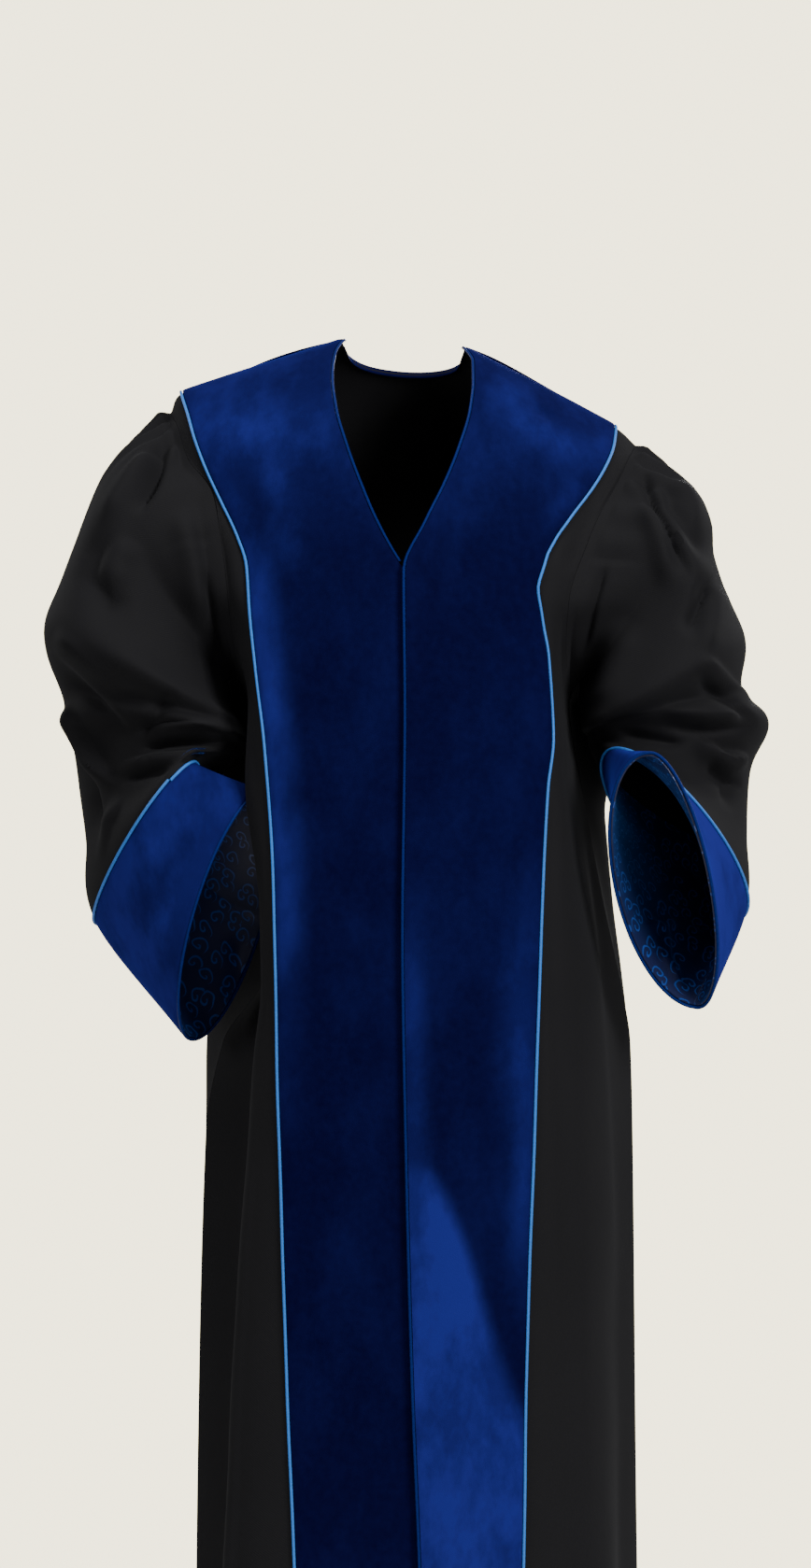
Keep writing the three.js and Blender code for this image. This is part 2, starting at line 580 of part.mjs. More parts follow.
// Large soft folds: ring place s, column k, half widths, and how proud.
const sleeveFolds = {
  right: [{ s: 4.6, k: 3.3, ds: 0.5, dk: 3.3, proud: 9 }, { s: 5.5, k: 4.2, ds: 0.4, dk: 3.3, proud: -8 },
    { s: 6.2, k: 3.3, ds: 0.5, dk: 3.3, proud: 8 }, { s: 3.2, k: 5.8, ds: 0.9, dk: 1.7, proud: -7 },
    { s: 3, k: 2.8, ds: 1.4, dk: 1.1, proud: 6 }, { s: 5, k: 16.7, ds: 0.6, dk: 3.3, proud: -7 },
    { s: 3.8, k: 15, ds: 0.8, dk: 2.5, proud: 6 }],
  left: [{ s: 4.6, k: 2.5, ds: 0.5, dk: 3.3, proud: 9 }, { s: 5.3, k: 3, ds: 0.4, dk: 3.3, proud: -8 },
    { s: 6, k: 2.5, ds: 0.5, dk: 3.3, proud: 8 }, { s: 3.4, k: 5.4, ds: 0.9, dk: 1.7, proud: -7 },
    { s: 3, k: 3.3, ds: 1.4, dk: 1.1, proud: 6 }, { s: 5, k: 16.7, ds: 0.6, dk: 3.3, proud: -7 },
    { s: 3.8, k: 15, ds: 0.8, dk: 2.5, proud: 6 }],
};

function sleeveGrid(side, rows) {
  const frames = seamFrames(side);
  const table = sleeveRings[side];
  const stations = [0, 0.22, ...table.map((_, i) => i + 2)].map((s) => (s > 1 ? s + 1 : s));
  const hub = (s) => {
    const row = table[clamp(Math.floor(s) - 3, 0, table.length - 1)];
    return V(...row.out).add(V(...row.in)).multiplyScalar(0.5);
  };
  const columns = frames.map(({ edge, normal, away }, k) => {
    const seam = edge.clone().addScaledVector(away, EDGE_GAP);
    const tuck = edge.clone().addScaledVector(away, HEAD_TUCK).addScaledVector(normal, TUCK_RISE);
    return [seam, tuck, ...table.map((row) => ring(row, k))];
  });
  const surface = (k, s) => {
    const p = spline(stations, columns[k], s);
    const out = p.clone().sub(hub(s)).normalize();
    const alongHead = ramp(s, 0.1, 0.5) * (1 - ramp(s, 0.8, 3.4));
    const gather = k < 6 || k > 14 ? PLEAT * Math.cos(Math.PI * k) * alongHead : 0;
    const lift = sleeveFolds[side].reduce((sum, fold) => {
      const dk = Math.min(Math.abs(k - fold.k), AROUND - Math.abs(k - fold.k)) / fold.dk;
      const ds = (s - fold.s) / fold.ds;
      return sum + fold.proud * Math.exp(-dk * dk - ds * ds);
    }, 0);
    return p.addScaledVector(out, (gather + lift) * (1 - ramp(s, 7.6, 8.6)));
  };
  const points = rows.map((s) => frames.map((_, k) => surface(k, s)));
  const normals = rows.map((s) => frames.map((frame, k) => {
    if (s === 0) return frame.normal.clone();
    const k0 = (k + AROUND - 1) % AROUND;
    const k1 = (k + 1) % AROUND;
    const step = 0.08;
    const around = surface(k1, s).sub(surface(k0, s));
    const along = surface(k, Math.min(s + step, 10)).sub(surface(k, s - step));
    const normal = around.cross(along).normalize();
    const out = surface(k, s).sub(hub(s));
    return normal.dot(out) < 0 ? normal.negate() : normal;
  }));
  return { points, normals };
}

const LINING_ROWS = [8, 8.5, 9, 9.5, 10];
['right', 'left'].forEach((side) => {
  const sleeve = sleeveGrid(side, SLEEVE_ROWS);
  const cuff = sleeveGrid(side, CUFF_ROWS);
  const lining = sleeveGrid(side, LINING_ROWS);
  const pullRow = (grid, r, toward, by) => grid.points[r].forEach((p, k) => {
    p.addScaledVector(grid.points[toward][k].clone().sub(p).normalize(), by);
  });
  pullRow(sleeve, SLEEVE_ROWS.length - 1, SLEEVE_ROWS.length - 2, CUFF_GAP);
  pullRow(cuff, 0, 1, CUFF_GAP);
  add(`sleeve_${side}`, wall(sleeve, -CLOTH / 2, CLOTH / 2, true), colour.cloth);
  add(`cuff_${side}`, wall(cuff, -CLOTH / 2, VELVET - CLOTH / 2, true), colour.velvet);
  const under = -CLOTH / 2 - 2 * SEAM;
  add(`sleeve_lining_${side}`, wall(lining, under - LINING, under, true), colour.brocade);

  const hoop = (grid, r, toward, lift, beyond, other = null) => grid.points[r].map((p, k) => {
    const out = grid.normals[r][k];
    const away = p.clone().sub(grid.points[toward][k]).normalize();
    const before = other ? other[k].clone().sub(p).normalize() : away;
    const halfAngle = Math.acos(clamp(-away.dot(before), -1, 1)) / 2;
    const deeper = other ? 1 / Math.max(0.4, Math.sin(halfAngle)) : 1;
    const centre = p.clone().addScaledVector(out, lift * deeper).addScaledVector(away, beyond);
    return { centre, out, across: away };
  });
  const pipingLift = VELVET - CLOTH / 2 + 3 * SEAM + PIPING_R;
  const aboveCuff = sleeve.points[SLEEVE_ROWS.length - 2];
  const pipingHoop = hoop(cuff, 0, 1, pipingLift, -PIPING_SHIFT, aboveCuff);
  add(`piping_cuff_${side}`, cord(pipingHoop, PIPING_R, CORD_SIDES, true), colour.satin);
  const mouth = CUFF_ROWS.length - 1;
  const cordHoop = hoop(cuff, mouth, mouth - 1, 0, CORD_R + 2 * SEAM);
  add(`cord_cuff_${side}`, cord(cordHoop, CORD_R, CORD_SIDES, true), colour.cord);
});

export default part;
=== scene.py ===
import math

import bpy
import numpy as np
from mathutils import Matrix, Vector


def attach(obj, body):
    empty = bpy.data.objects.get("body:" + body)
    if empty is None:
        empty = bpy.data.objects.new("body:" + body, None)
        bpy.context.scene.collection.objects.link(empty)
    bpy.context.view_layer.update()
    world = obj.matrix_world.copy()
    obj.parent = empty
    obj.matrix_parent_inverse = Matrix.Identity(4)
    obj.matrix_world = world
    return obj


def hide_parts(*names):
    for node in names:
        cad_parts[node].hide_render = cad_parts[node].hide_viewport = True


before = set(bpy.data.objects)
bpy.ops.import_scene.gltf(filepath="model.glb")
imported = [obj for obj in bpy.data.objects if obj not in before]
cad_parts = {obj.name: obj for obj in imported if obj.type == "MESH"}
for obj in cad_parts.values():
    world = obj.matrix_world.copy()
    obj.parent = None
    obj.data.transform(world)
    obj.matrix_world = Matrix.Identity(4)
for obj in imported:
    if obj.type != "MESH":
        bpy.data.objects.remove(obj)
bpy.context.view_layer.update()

# ---- Camera ------------------------------------------------------------------------------------
# Level and straight in front of the chest. Lengths in metres.
eye = (0.0, -2.4, -0.39)
view_height = 1.3936
camera_data = bpy.data.cameras.new("camera")
camera_data.sensor_width = 24
camera_data.lens = 24 * -eye[1] / view_height
camera_data.clip_end = 60
camera = bpy.data.objects.new("camera", camera_data)
camera.location = eye
camera.rotation_euler = (math.pi / 2, 0, 0)
bpy.context.scene.collection.objects.link(camera)
bpy.context.scene.camera = camera


# ---- Studio ------------------------------------------------------------------------------------
# A pale round floor a little below the hem, a warm white surround and soft boxes on all sides.
def shader_tree(owner, kind):
    """An empty node tree with its output."""
    owner.use_nodes = True
    tree = owner.node_tree
    tree.nodes.clear()
    return tree, tree.nodes.new(kind)


def node(tree, kind, inputs=(), **settings):
    """A node with its settings made, and each (socket, value or socket to link) of inputs set."""
    made = tree.nodes.new(kind)
    for name, value in settings.items():
        setattr(made, name, value)
    for socket, value in inputs:
        if isinstance(value, bpy.types.NodeSocket):
            tree.links.new(value, made.inputs[socket])
        else:
            made.inputs[socket].default_value = value
    return made


FLOOR_HEIGHT = -1.51
FLOOR_RADIUS = 1.25
floor_mesh = bpy.data.meshes.new("floor")
rim = [(FLOOR_RADIUS * math.cos(a), FLOOR_RADIUS * math.sin(a), FLOOR_HEIGHT)
       for a in np.linspace(0, 2 * math.pi, 129)[:-1]]
floor_mesh.from_pydata(rim, [], [list(range(len(rim)))])
floor = bpy.data.objects.new("floor", floor_mesh)
bpy.context.scene.collection.objects.link(floor)
floor_paint = bpy.data.materials.new("pale_floor")
tree, output = shader_tree(floor_paint, "ShaderNodeOutputMaterial")
speckle = node(tree, "ShaderNodeTexNoise", [("Scale", 60.0), ("Detail", 3.0)])
tone = node(tree, "ShaderNodeMix", [("Factor", speckle.outputs[0]), ("A", (0.80, 0.79, 0.76, 1)),
                                    ("B", (0.84, 0.83, 0.80, 1))], data_type="RGBA")
paint = node(tree, "ShaderNodeBsdfPrincipled", [("Base Color", tone.outputs["Result"]), ("Roughness", 0.7)])
tree.links.new(paint.outputs[0], output.inputs["Surface"])
floor_mesh.materials.append(floor_paint)

world = bpy.data.worlds.new("studio")
bpy.context.scene.world = world
tree, output = shader_tree(world, "ShaderNodeOutputWorld")
seen = node(tree, "ShaderNodeBackground", [("Color", (3.87, 3.52, 2.46, 1)), ("Strength", 1.0)])
lighting = node(tree, "ShaderNodeBackground", [("Color", (1.0, 0.98, 0.95, 1)), ("Strength", 0.2)])
path = node(tree, "ShaderNodeLightPath")
surround = node(tree, "ShaderNodeMixShader", [(0, path.outputs["Is Camera Ray"]), (1, lighting.outputs[0]),
                                              (2, seen.outputs[0])])
tree.links.new(surround.outputs[0], output.inputs["Surface"])

# Where each soft box stands, what it faces, its side and its power in watts.
soft_boxes = {
    "key": ((1.9, -2.3, 0.9), (0, 0, -0.7), 1.0, 110),
    "fill": ((-2.3, -2.0, 0.4), (0, 0, -0.5), 1.1, 30),
    "top": ((-0.2, -0.6, 1.9), (0, 0, -0.3), 1.0, 34),
    "low": ((0.6, -2.6, -1.3), (0, 0, -0.8), 1.2, 12),
    "rim_right": ((-1.9, 1.1, 0.6), (0, 0, -0.4), 1.0, 10),
    "rim_left": ((1.9, 1.1, 0.6), (0, 0, -0.4), 1.0, 14),
    "behind": ((0.5, 2.8, 0.8), (0, 0, -0.6), 0.9, 60),
}
for name, (place, aim, side, power) in soft_boxes.items():
    lamp = bpy.data.lights.new(name, "AREA")
    lamp.shape = "SQUARE"
    lamp.size = side
    lamp.energy = power
    soft_box = bpy.data.objects.new(name, lamp)
    soft_box.location = place
    toward = Vector(aim) - Vector(place)
    soft_box.rotation_euler = toward.to_track_quat("-Z", "Y").to_euler()
    bpy.context.scene.collection.objects.link(soft_box)


# ---- Black fronts ------------------------------------------------------------------------------
# Two panels of black twill from the shoulder line to the hem, each in one piece under its velvet
# band. They are cut wide, fold back at the side below the arms and are joined to the back there.
# All lengths from here on are in millimetres; a point's drop is its depth below the shoulder line.
HEM = -1300
UNDERARM = -318
CLOTH = 1.6
SEAM = 0.3
EDGE_GAP = 0.2
LAP = 16
LAP_LIFT = 6.6
CHEST_DEPTH = 122
BAND = 0.46
MM = 0.001


def ramp(v, low, high):
    """0 below low, 1 above high and a smooth rise between them."""
    t = np.clip((np.asarray(v, float) - low) / (high - low), 0, 1)
    return t * t * (3 - 2 * t)


def mix(a, b, t):
    return a + (b - a) * t


def vec(x, y, z):
    return np.stack(np.broadcast_arrays(np.asarray(x, float), y, z), axis=-1)


def unit(v):
    return v / np.maximum(np.linalg.norm(v, axis=-1, keepdims=True), 1e-9)


def hermite(t, a, b, slope_a, slope_b):
    t2, t3 = t * t, t * t * t
    return ((2 * t3 - 3 * t2 + 1) * a + (t3 - 2 * t2 + t) * slope_a
            + (3 * t2 - 2 * t3) * b + (t3 - t2) * slope_b)


def through(xs, ys, x):
    """A smooth value through knots at rising xs, without overshoot."""
    xs, ys, x = np.asarray(xs, float), np.asarray(ys, float), np.asarray(x, float)
    slope = np.diff(ys) / np.diff(xs)
    before, after = slope[:-1], slope[1:]
    product = before * after
    inner = np.where(product <= 0, 0, 2 * product / np.where(product <= 0, 1, before + after))
    tangent = np.concatenate([slope[:1], inner, slope[-1:]])
    x = np.clip(x, xs[0], xs[-1])
    i = np.clip(np.searchsorted(xs, x, side="right") - 1, 0, len(xs) - 2)
    width = xs[i + 1] - xs[i]
    return hermite((x - xs[i]) / width, ys[i], ys[i + 1], width * tangent[i], width * tangent[i + 1])


def spline(stations, points, s):
    """A smooth curve through points at rising stations; a short span next to a long one stays taut."""
    tight = 1.5
    last = len(stations) - 1
    shape = np.broadcast_shapes(*[p.shape for p in points], np.shape(s) + (3,))
    points = np.stack([np.broadcast_to(p, shape) for p in points])
    s = np.broadcast_to(s, shape[:-1])
    stations = np.asarray(stations, float)
    tangents = []
    for k in range(last + 1):
        a, b = max(k - 1, 0), min(k + 1, last)
        tangent = (points[b] - points[a]) / (stations[b] - stations[a])
        if a != k and b != k:
            before = np.linalg.norm(points[k] - points[a], axis=-1) / (stations[k] - stations[a])
            after = np.linalg.norm(points[b] - points[k], axis=-1) / (stations[b] - stations[k])
            longest = tight * np.minimum(before, after)
            length = np.maximum(np.linalg.norm(tangent, axis=-1), 1e-9)
            tangent = tangent * np.minimum(1, longest / length)[..., None]
        tangents.append(tangent)
    tangents = np.stack(tangents)
    s = np.clip(s, stations[0], stations[last])
    i = np.clip(np.searchsorted(stations, s, side="right") - 1, 0, last - 1)
    at = lambda table, index: np.take_along_axis(table, index[None, ..., None], axis=0)[0]
    width = (stations[i + 1] - stations[i])[..., None]
    t = (s - stations[i])[..., None] / width
    return hermite(t, at(points, i), at(points, i + 1), width * at(tangents, i), width * at(tangents, i + 1))


SHOULDER_X = [-225, -208, -197, -169, -140, -111, -78, -55, -20, 20, 52, 88, 125, 163, 183, 204, 222]
SHOULDER_Z = [-92, -61, -43, -27, -20, -19, -9, 3, 6, 4, -4, -22, -41, -58, -72, -90, -112]
FADE = 350


def height_at(x, drop):
    return drop + through(SHOULDER_X, SHOULDER_Z, x) * (1 - ramp(-drop, 0, FADE))


def drop_at(x, z):
    shoulder = through(SHOULDER_X, SHOULDER_Z, x)
    drop = z - shoulder
    for _ in range(24):
        drop = z - shoulder * (1 - ramp(-drop, 0, FADE))
    return np.minimum(0, drop)


def line_on_front(points):
    """Turns a line of (x, z) points into x as a function of drop."""
    rows = sorted((-float(drop_at(x, z)), x) for x, z in points)
    return lambda drop: through([r[0] for r in rows], [r[1] for r in rows], -drop)


CENTRE_LINE = [(0, -210), (1, -327), (-1, -516), (2, -702), (7, -888), (13, -1039), (20, HEM)]
neck_right = [(-55, 3), (-63, -13), (-65, -33), (-61, -67), (-51, -102), (-39, -135), (-25, -168), (0, -210)]
neck_left = [(52, -4), (60, -20), (60, -39), (57, -67), (47, -102), (34, -135), (18, -168), (0, -210)]
under_lap = [(LAP, -224)] + [(x + LAP, z) for x, z in CENTRE_LINE[1:]]
neck_line = {"right": line_on_front(neck_right + under_lap),
             "left": line_on_front(neck_left + CENTRE_LINE[1:])}
band_line = {
    "right": line_on_front([
        (-197, -43), (-189, -66), (-182, -89), (-172, -115), (-156, -149), (-142, -179), (-134, -203),
        (-131, -240), (-125, -295), (-117, -359), (-109, -485), (-105, -657), (-99, -844), (-91, -1042),
        (-82, HEM)]),
    "left": line_on_front([
        (184, -75), (180, -94), (170, -117), (159, -135), (141, -159), (127, -180), (117, -201),
        (112, -223), (115, -247), (120, -290), (123, -350), (118, -394), (113, -485), (107, -657),
        (100, -844), (96, -1042), (92, HEM)]),
}

# Armhole seams, front half and back half: x, y and drop.
armholes = {
    ("right", "front"): ([-208, -200, -190, -166, -160, -153, -150, -146, -143],
                         [0, -22, -42, -66, -76, -82, -66, -38, 0],
                         [0, -30, -72, -122, -156, -214, -252, -290, UNDERARM]),
    ("right", "back"): ([-208, -202, -192, -182, -176, -168, -158, -148, -143],
                        [0, 26, 46, 66, 80, 86, 74, 42, 0],
                        [0, -30, -72, -122, -170, -220, -262, -298, UNDERARM]),
    ("left", "front"): ([204, 196, 185, 166, 154, 140, 138, 140, 143],
                        [0, -22, -42, -66, -76, -84, -68, -38, 0],
                        [0, -22, -58, -116, -158, -216, -254, -290, UNDERARM]),
    ("left", "back"): ([204, 199, 190, 180, 172, 164, 155, 147, 143],
                       [0, 26, 46, 66, 80, 86, 74, 42, 0],
                       [0, -26, -66, -118, -170, -220, -262, -298, UNDERARM]),
}


def armhole_edge(side, half, drop):
    """The seam at each drop; below the underarm it carries on straight down."""
    x, y, drops = armholes[side, half]
    deepest = np.maximum(drop, UNDERARM)
    along = [-d for d in drops]
    edge_x = through(along, x, -deepest)
    return vec(edge_x, through(along, y, -deepest), height_at(edge_x, drop))


# The body below the arms: x and y where its section turns, one value for each level.
LEVELS = [-330, -400, -500, -560, -620, -700, -1000, HEM]
centre_y = [-125, -128, -137, -139, -143, -146, -155, -160]
sections = {
    "right": {"fold_x": [-140, -137, -124, -123, -128, -133, -149, -159],
              "fold_y": [-92, -95, -98, -100, -102, -104, -108, -112],
              "tuck_x": [-136, -128, -108, -106, -112, -117, -134, -147],
              "tuck_y": [-52, -52, -52, -53, -55, -56, -60, -62],
              "side_x": [-143, -137, -118, -124, -162, -177, -184, -187],
              "side_y": [0, 10, 8, 14, 12, 6, 0, 0],
              "rear_x": [-172, -172, -174, -177, -178, -174, -172, -174],
              "rear_y": [94, 106, 102, 98, 98, 104, 122, 138]},
    "left": {"fold_x": [138, 139, 143, 147, 151, 152, 155, 157],
             "fold_y": [-88, -92, -98, -102, -105, -108, -112, -116],
             "side_x": [145, 157, 176, 189, 199, 201, 204, 208],
             "side_y": [0, 2, 2, 2, 0, 0, 0, 0],
             "rear_x": [178, 180, 185, 189, 191, 190, 188, 190],
             "rear_y": [94, 102, 100, 100, 102, 106, 126, 142]},
}


def at_level(values, drop):
    return through([-level for level in LEVELS], values, -drop)


def round_share(x, drop):
    half = mix(228, 190, ramp(-drop, 0, 300))
    return (1 - np.minimum(0.985, np.abs(x) / half) ** 2.3) ** (1 / 2.3)


def cap_share(drop, reach, power):
    t = np.clip(-drop / reach, 0, 1)
    return np.sqrt(1 - (1 - t) ** 2) ** power


def fold_lift(folds, f, drop):
    """Long folds of the skirt: place across the panel, half width, height at the hem, where it starts."""
    lift = 0.0
    for place, wide, proud, start in folds:
        lift = lift + proud * ramp(-drop, -start, -HEM + 250) * np.exp(-((f - place) / wide) ** 2)
    return lift


front_folds = {"right": [(0.53, 0.05, 4, -600), (0.585, 0.022, -3, -640)],
               "left": [(0.62, 0.05, -6, -430), (0.78, 0.07, 9, -600), (0.9, 0.05, -7, -560)]}


def front_form(side, f, drop):
    """The front as cut and worn, before its small creases; f runs from the opening to the side seam."""
    inner, outer = neck_line[side](drop), band_line[side](drop)

    def chest(x):
        depth = CHEST_DEPTH * round_share(x, drop) * cap_share(drop, 330, 1.15)
        return vec(x, -depth, height_at(x, drop))

    sewn = armhole_edge(side, "front", drop)
    upper = spline([0, BAND / 2, BAND, 1], [chest(inner), chest((inner + outer) / 2), chest(outer), sewn], f)
    own = sections[side]
    y0 = at_level(centre_y, drop)
    y1 = mix(y0, at_level(own["fold_y"], drop), 0.34)
    stations = [0, BAND / 2, BAND]
    points = [vec(inner, y0, drop), vec((inner + outer) / 2, mix(y0, y1, 0.3), drop), vec(outer, y1, drop)]
    fold = vec(at_level(own["fold_x"], drop), at_level(own["fold_y"], drop), drop)
    if side == "right":
        stations += [0.62, 0.8, 1]
        points += [fold, vec(at_level(own["tuck_x"], drop), at_level(own["tuck_y"], drop), drop)]
    else:
        stations += [0.7, 1]
        points += [fold]
    points.append(vec(at_level(own["side_x"], drop), at_level(own["side_y"], drop), drop))
    p = mix(upper, spline(stations, points, f), ramp(-drop, 250, 400)[..., None])
    p = p + unit(p * (0.7, 1, 0)) * fold_lift(front_folds[side], f, drop)[..., None]
    if side == "left":
        near_edge = 1 - ramp(p[..., 0] - inner, 22, 66)
        p[..., 1] -= LAP_LIFT * near_edge * ramp(-drop, 120, 196)
    return p


def normals_of(points, outward, closed=False):
    """Unit normals of a grid of points; a closed grid wraps from its last column to its first."""
    if closed:
        across = np.roll(points, -1, axis=1) - np.roll(points, 1, axis=1)
    else:
        across = np.gradient(points, axis=1)
    return unit(np.cross(across, np.gradient(points, axis=0))) * outward


def crease_lift(x, z, creases):
    """Soft ridges (+) and troughs (-) along lines of (x, z); one flank is steeper by its lean."""
    lift = np.zeros(np.shape(x))
    for line, wide, proud, lean in creases:
        line = np.array(line, float)
        lengths = np.linalg.norm(np.diff(line, axis=0), axis=1)
        whole = lengths.sum()
        nearest = np.full(np.shape(x), 1e9)
        along = np.zeros(np.shape(x))
        signed = np.zeros(np.shape(x))
        start = 0.0
        for (ax, az), (bx, bz), length in zip(line[:-1], line[1:], lengths):
            ux, uz = (bx - ax) / length, (bz - az) / length
            t = np.clip((x - ax) * ux + (z - az) * uz, 0, length)
            dx, dz = x - ax - t * ux, z - az - t * uz
            distance = np.hypot(dx, dz)
            closer = distance < nearest
            nearest = np.where(closer, distance, nearest)
            along = np.where(closer, start + t, along)
            signed = np.where(closer, dx * uz - dz * ux, signed)
            start += length
        flank = wide * (1 + lean * np.tanh(signed / (0.5 * wide)))
        ends = ramp(along / whole, 0, 0.3) * (1 - ramp(along / whole, 0.7, 1))
        lift += proud * ends * np.exp(-(nearest / flank) ** 2)
    return lift


def slack(p, height, length):
    """Gentle unevenness that hanging cloth has, in place of a perfectly smooth form."""
    x, y, z = (p[..., i] / length for i in range(3))
    return height * (np.sin(1.3 * x + 0.9 * z + 0.4) * np.sin(2.1 * y - 1.1 * z + 1.7)
                     + 0.6 * np.sin(2.7 * x - 1.9 * y + 0.5 * z + 2.2)
                     + 0.4 * np.sin(4.3 * z + 1.2 * x + 0.8) * np.sin(3.1 * x + 0.7 * y))


front_creases = {
    "right": [
        ([(-186, -112), (-172, -154), (-160, -205), (-153, -262)], 10, -3.5, 0.3),
        ([(-165, -140), (-147, -190), (-142, -250), (-138, -330)], 9, 2.5, 0.0),
        ([(-150, -205), (-139, -262), (-133, -340), (-127, -420)], 7, -2.5, 0.2),
        ([(-60, -130), (-95, -112), (-132, -104)], 12, -1.4, 0.2),
        ([(-20, -250), (-60, -236), (-110, -232)], 16, -1.0, 0.0),
        ([(-124, -545), (-131, -700), (-140, -860), (-150, -1060), (-155, -1270)], 6, 2.2, 0.4),
    ],
    "left": [
        ([(96, -193), (111, -232), (123, -280)], 8, -2.6, 0.3),
        ([(82, -188), (98, -236), (112, -292)], 10, 1.6, 0.0),
        ([(134, -166), (114, -202)], 7, -2.2, 0.0),
        ([(106, -62), (118, -66), (130, -73)], 5, -2.0, 0.2),
        ([(104, -74), (126, -84)], 6, 1.4, 0.0),
        ([(165, -140), (150, -178), (137, -214)], 8, -2.0, 0.2),
        ([(136, -236), (134, -330), (140, -430)], 10, -3.0, 0.0),
        ([(150, -420), (162, -560), (170, -700), (178, -860)], 12, 3.2, 0.4),
        ([(128, -520), (133, -760), (140, -990), (146, -1250)], 12, -3.0, 0.0),
        ([(112, -440), (118, -620), (124, -900)], 9, 2.2, 0.3),
    ],
}


def front(side, f, drop):
    """The front with its creases, which fade out at the seams."""
    p = front_form(side, f, drop)
    outward = 1 if side == "right" else -1
    lift = crease_lift(p[..., 0], p[..., 2], front_creases[side]) * (1 - ramp(p[..., 1], -50, -15))
    lift = lift + slack(p, 0.9, 95)
    lift = lift * (1 - ramp(f, 0.9, 1)) * ramp(-drop, 0, 40)
    lift = np.where(f < 0.03, lift * 0.4, lift)
    return p + normals_of(p, outward) * lift[..., None]


def shell(name, points, normals, inner, outer, closed=False, edges=None, marks=()):
    """A closed wall between two offsets of a grid. edges thins it near its own edges; marks are values
    kept at its points for its material."""
    rows, columns = points.shape[:2]
    middle = (inner + outer) / 2
    share = np.ones((rows, columns)) if edges is None else edges
    layers = [points + normals * (middle + (offset - middle) * share)[..., None] for offset in (outer, inner)]
    vertices = np.concatenate([layer.reshape(-1, 3) for layer in layers])
    index = np.arange(rows * columns).reshape(rows, columns)
    if closed:
        index = np.concatenate([index, index[:, :1]], axis=1)
    quads = np.stack([index[:-1, :-1], index[1:, :-1], index[1:, 1:], index[:-1, 1:]], axis=-1).reshape(-1, 4)
    below = rows * columns
    faces = [quads, quads[:, ::-1] + below]
    for line, flip in ((index[0], False), (index[-1], True)):
        side = np.stack([line[:-1], line[1:], line[1:] + below, line[:-1] + below], axis=-1)
        faces.append(side[:, ::-1] if flip else side)
    if not closed:
        for line, flip in ((index[:, 0], True), (index[:, -1], False)):
            side = np.stack([line[:-1], line[1:], line[1:] + below, line[:-1] + below], axis=-1)
            faces.append(side[:, ::-1] if flip else side)
    faces = np.concatenate(faces)
    across = np.concatenate([[0], np.cumsum(np.linalg.norm(np.diff(points, axis=1), axis=-1).mean(axis=0))])
    down = np.concatenate([[0], np.cumsum(np.linalg.norm(np.diff(points, axis=0), axis=-1).mean(axis=1))])
    cut = vec(*np.meshgrid(across, down), 0.0).reshape(-1, 3) * MM
    return mesh_piece(name, vertices, faces, [("cut", np.tile(cut, (2, 1)))]
                      + [(key, np.tile(values.reshape(-1), 2)) for key, values in marks])


def mesh_piece(name, vertices, faces, marks=()):
    """A smooth-shaded object from points in millimetres, its faces turned outwards."""
    a, b, c = (vertices[faces[:, i]] for i in range(3))
    d = vertices[faces[:, 3]]
    volume = (a * np.cross(b, c)).sum() + (a * np.cross(c, d)).sum()
    if volume < 0:
        faces = faces[:, ::-1]
    made = bpy.data.meshes.new(name)
    made.from_pydata((vertices * MM).tolist(), [], faces.tolist())
    made.polygons.foreach_set("use_smooth", [True] * len(faces))
    for key, values in marks:
        kind, field = ("FLOAT_VECTOR", "vector") if np.ndim(values) == 2 else ("FLOAT", "value")
        made.attributes.new(key, kind, "POINT").data.foreach_set(field, np.ravel(values).astype(np.float32))
    made.set_sharp_from_angle(angle=math.radians(55))
    piece = bpy.data.objects.new(name + "_piece", made)
    bpy.context.scene.collection.objects.link(piece)
    return piece


def fasten(piece, material, slot, *nodes):
    """Gives a piece its material, hangs it from the root empty and hides the model's parts that it stands
    for; slot is not used.
    """
    piece.data.materials.append(material)
    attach(piece, "root")
    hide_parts(*nodes)


def twill_material():
    """Black wool twill: fine diagonal ribs, a faint bloom on the folds and small changes of tone."""
    material = bpy.data.materials.new("black_twill")
    tree, output = shader_tree(material, "ShaderNodeOutputMaterial")
    cut = node(tree, "ShaderNodeAttribute", attribute_name="cut").outputs["Vector"]
    place = node(tree, "ShaderNodeTexCoord").outputs["Object"]
    ribs = node(tree, "ShaderNodeTexWave", [("Vector", cut), ("Scale", 320.0), ("Distortion", 0.6),
                                            ("Detail", 1.0)], bands_direction="DIAGONAL")
    threads = node(tree, "ShaderNodeTexNoise", [("Vector", cut), ("Scale", 900.0), ("Detail", 2.0)])
    cloudy = node(tree, "ShaderNodeTexNoise", [("Vector", place), ("Scale", 7.0), ("Detail", 4.0)])
    tone = node(tree, "ShaderNodeMix", [("Factor", cloudy.outputs[0]), ("A", (0.0068, 0.0067, 0.0076, 1)),
                                        ("B", (0.0100, 0.0098, 0.0110, 1))], data_type="RGBA")
    rough = node(tree, "ShaderNodeMapRange", [("Value", threads.outputs[0]), ("To Min", 0.7),
                                              ("To Max", 0.85)])
    weave = node(tree, "ShaderNodeMath", [(0, ribs.outputs["Fac"]), (1, threads.outputs[0])], operation="ADD")
    bump = node(tree, "ShaderNodeBump", [("Strength", 0.35), ("Distance", 0.00015),
                                         ("Height", weave.outputs[0])])
    cloth = node(tree, "ShaderNodeBsdfPrincipled", [
        ("Base Color", tone.outputs["Result"]), ("Roughness", rough.outputs[0]), ("Normal", bump.outputs[0]),
        ("Specular IOR Level", 0.07), ("Sheen Weight", 0.018), ("Sheen Roughness", 0.5),
        ("Sheen Tint", (0.82, 0.84, 0.90, 1))])
    tree.links.new(cloth.outputs[0], output.inputs["Surface"])
    return material


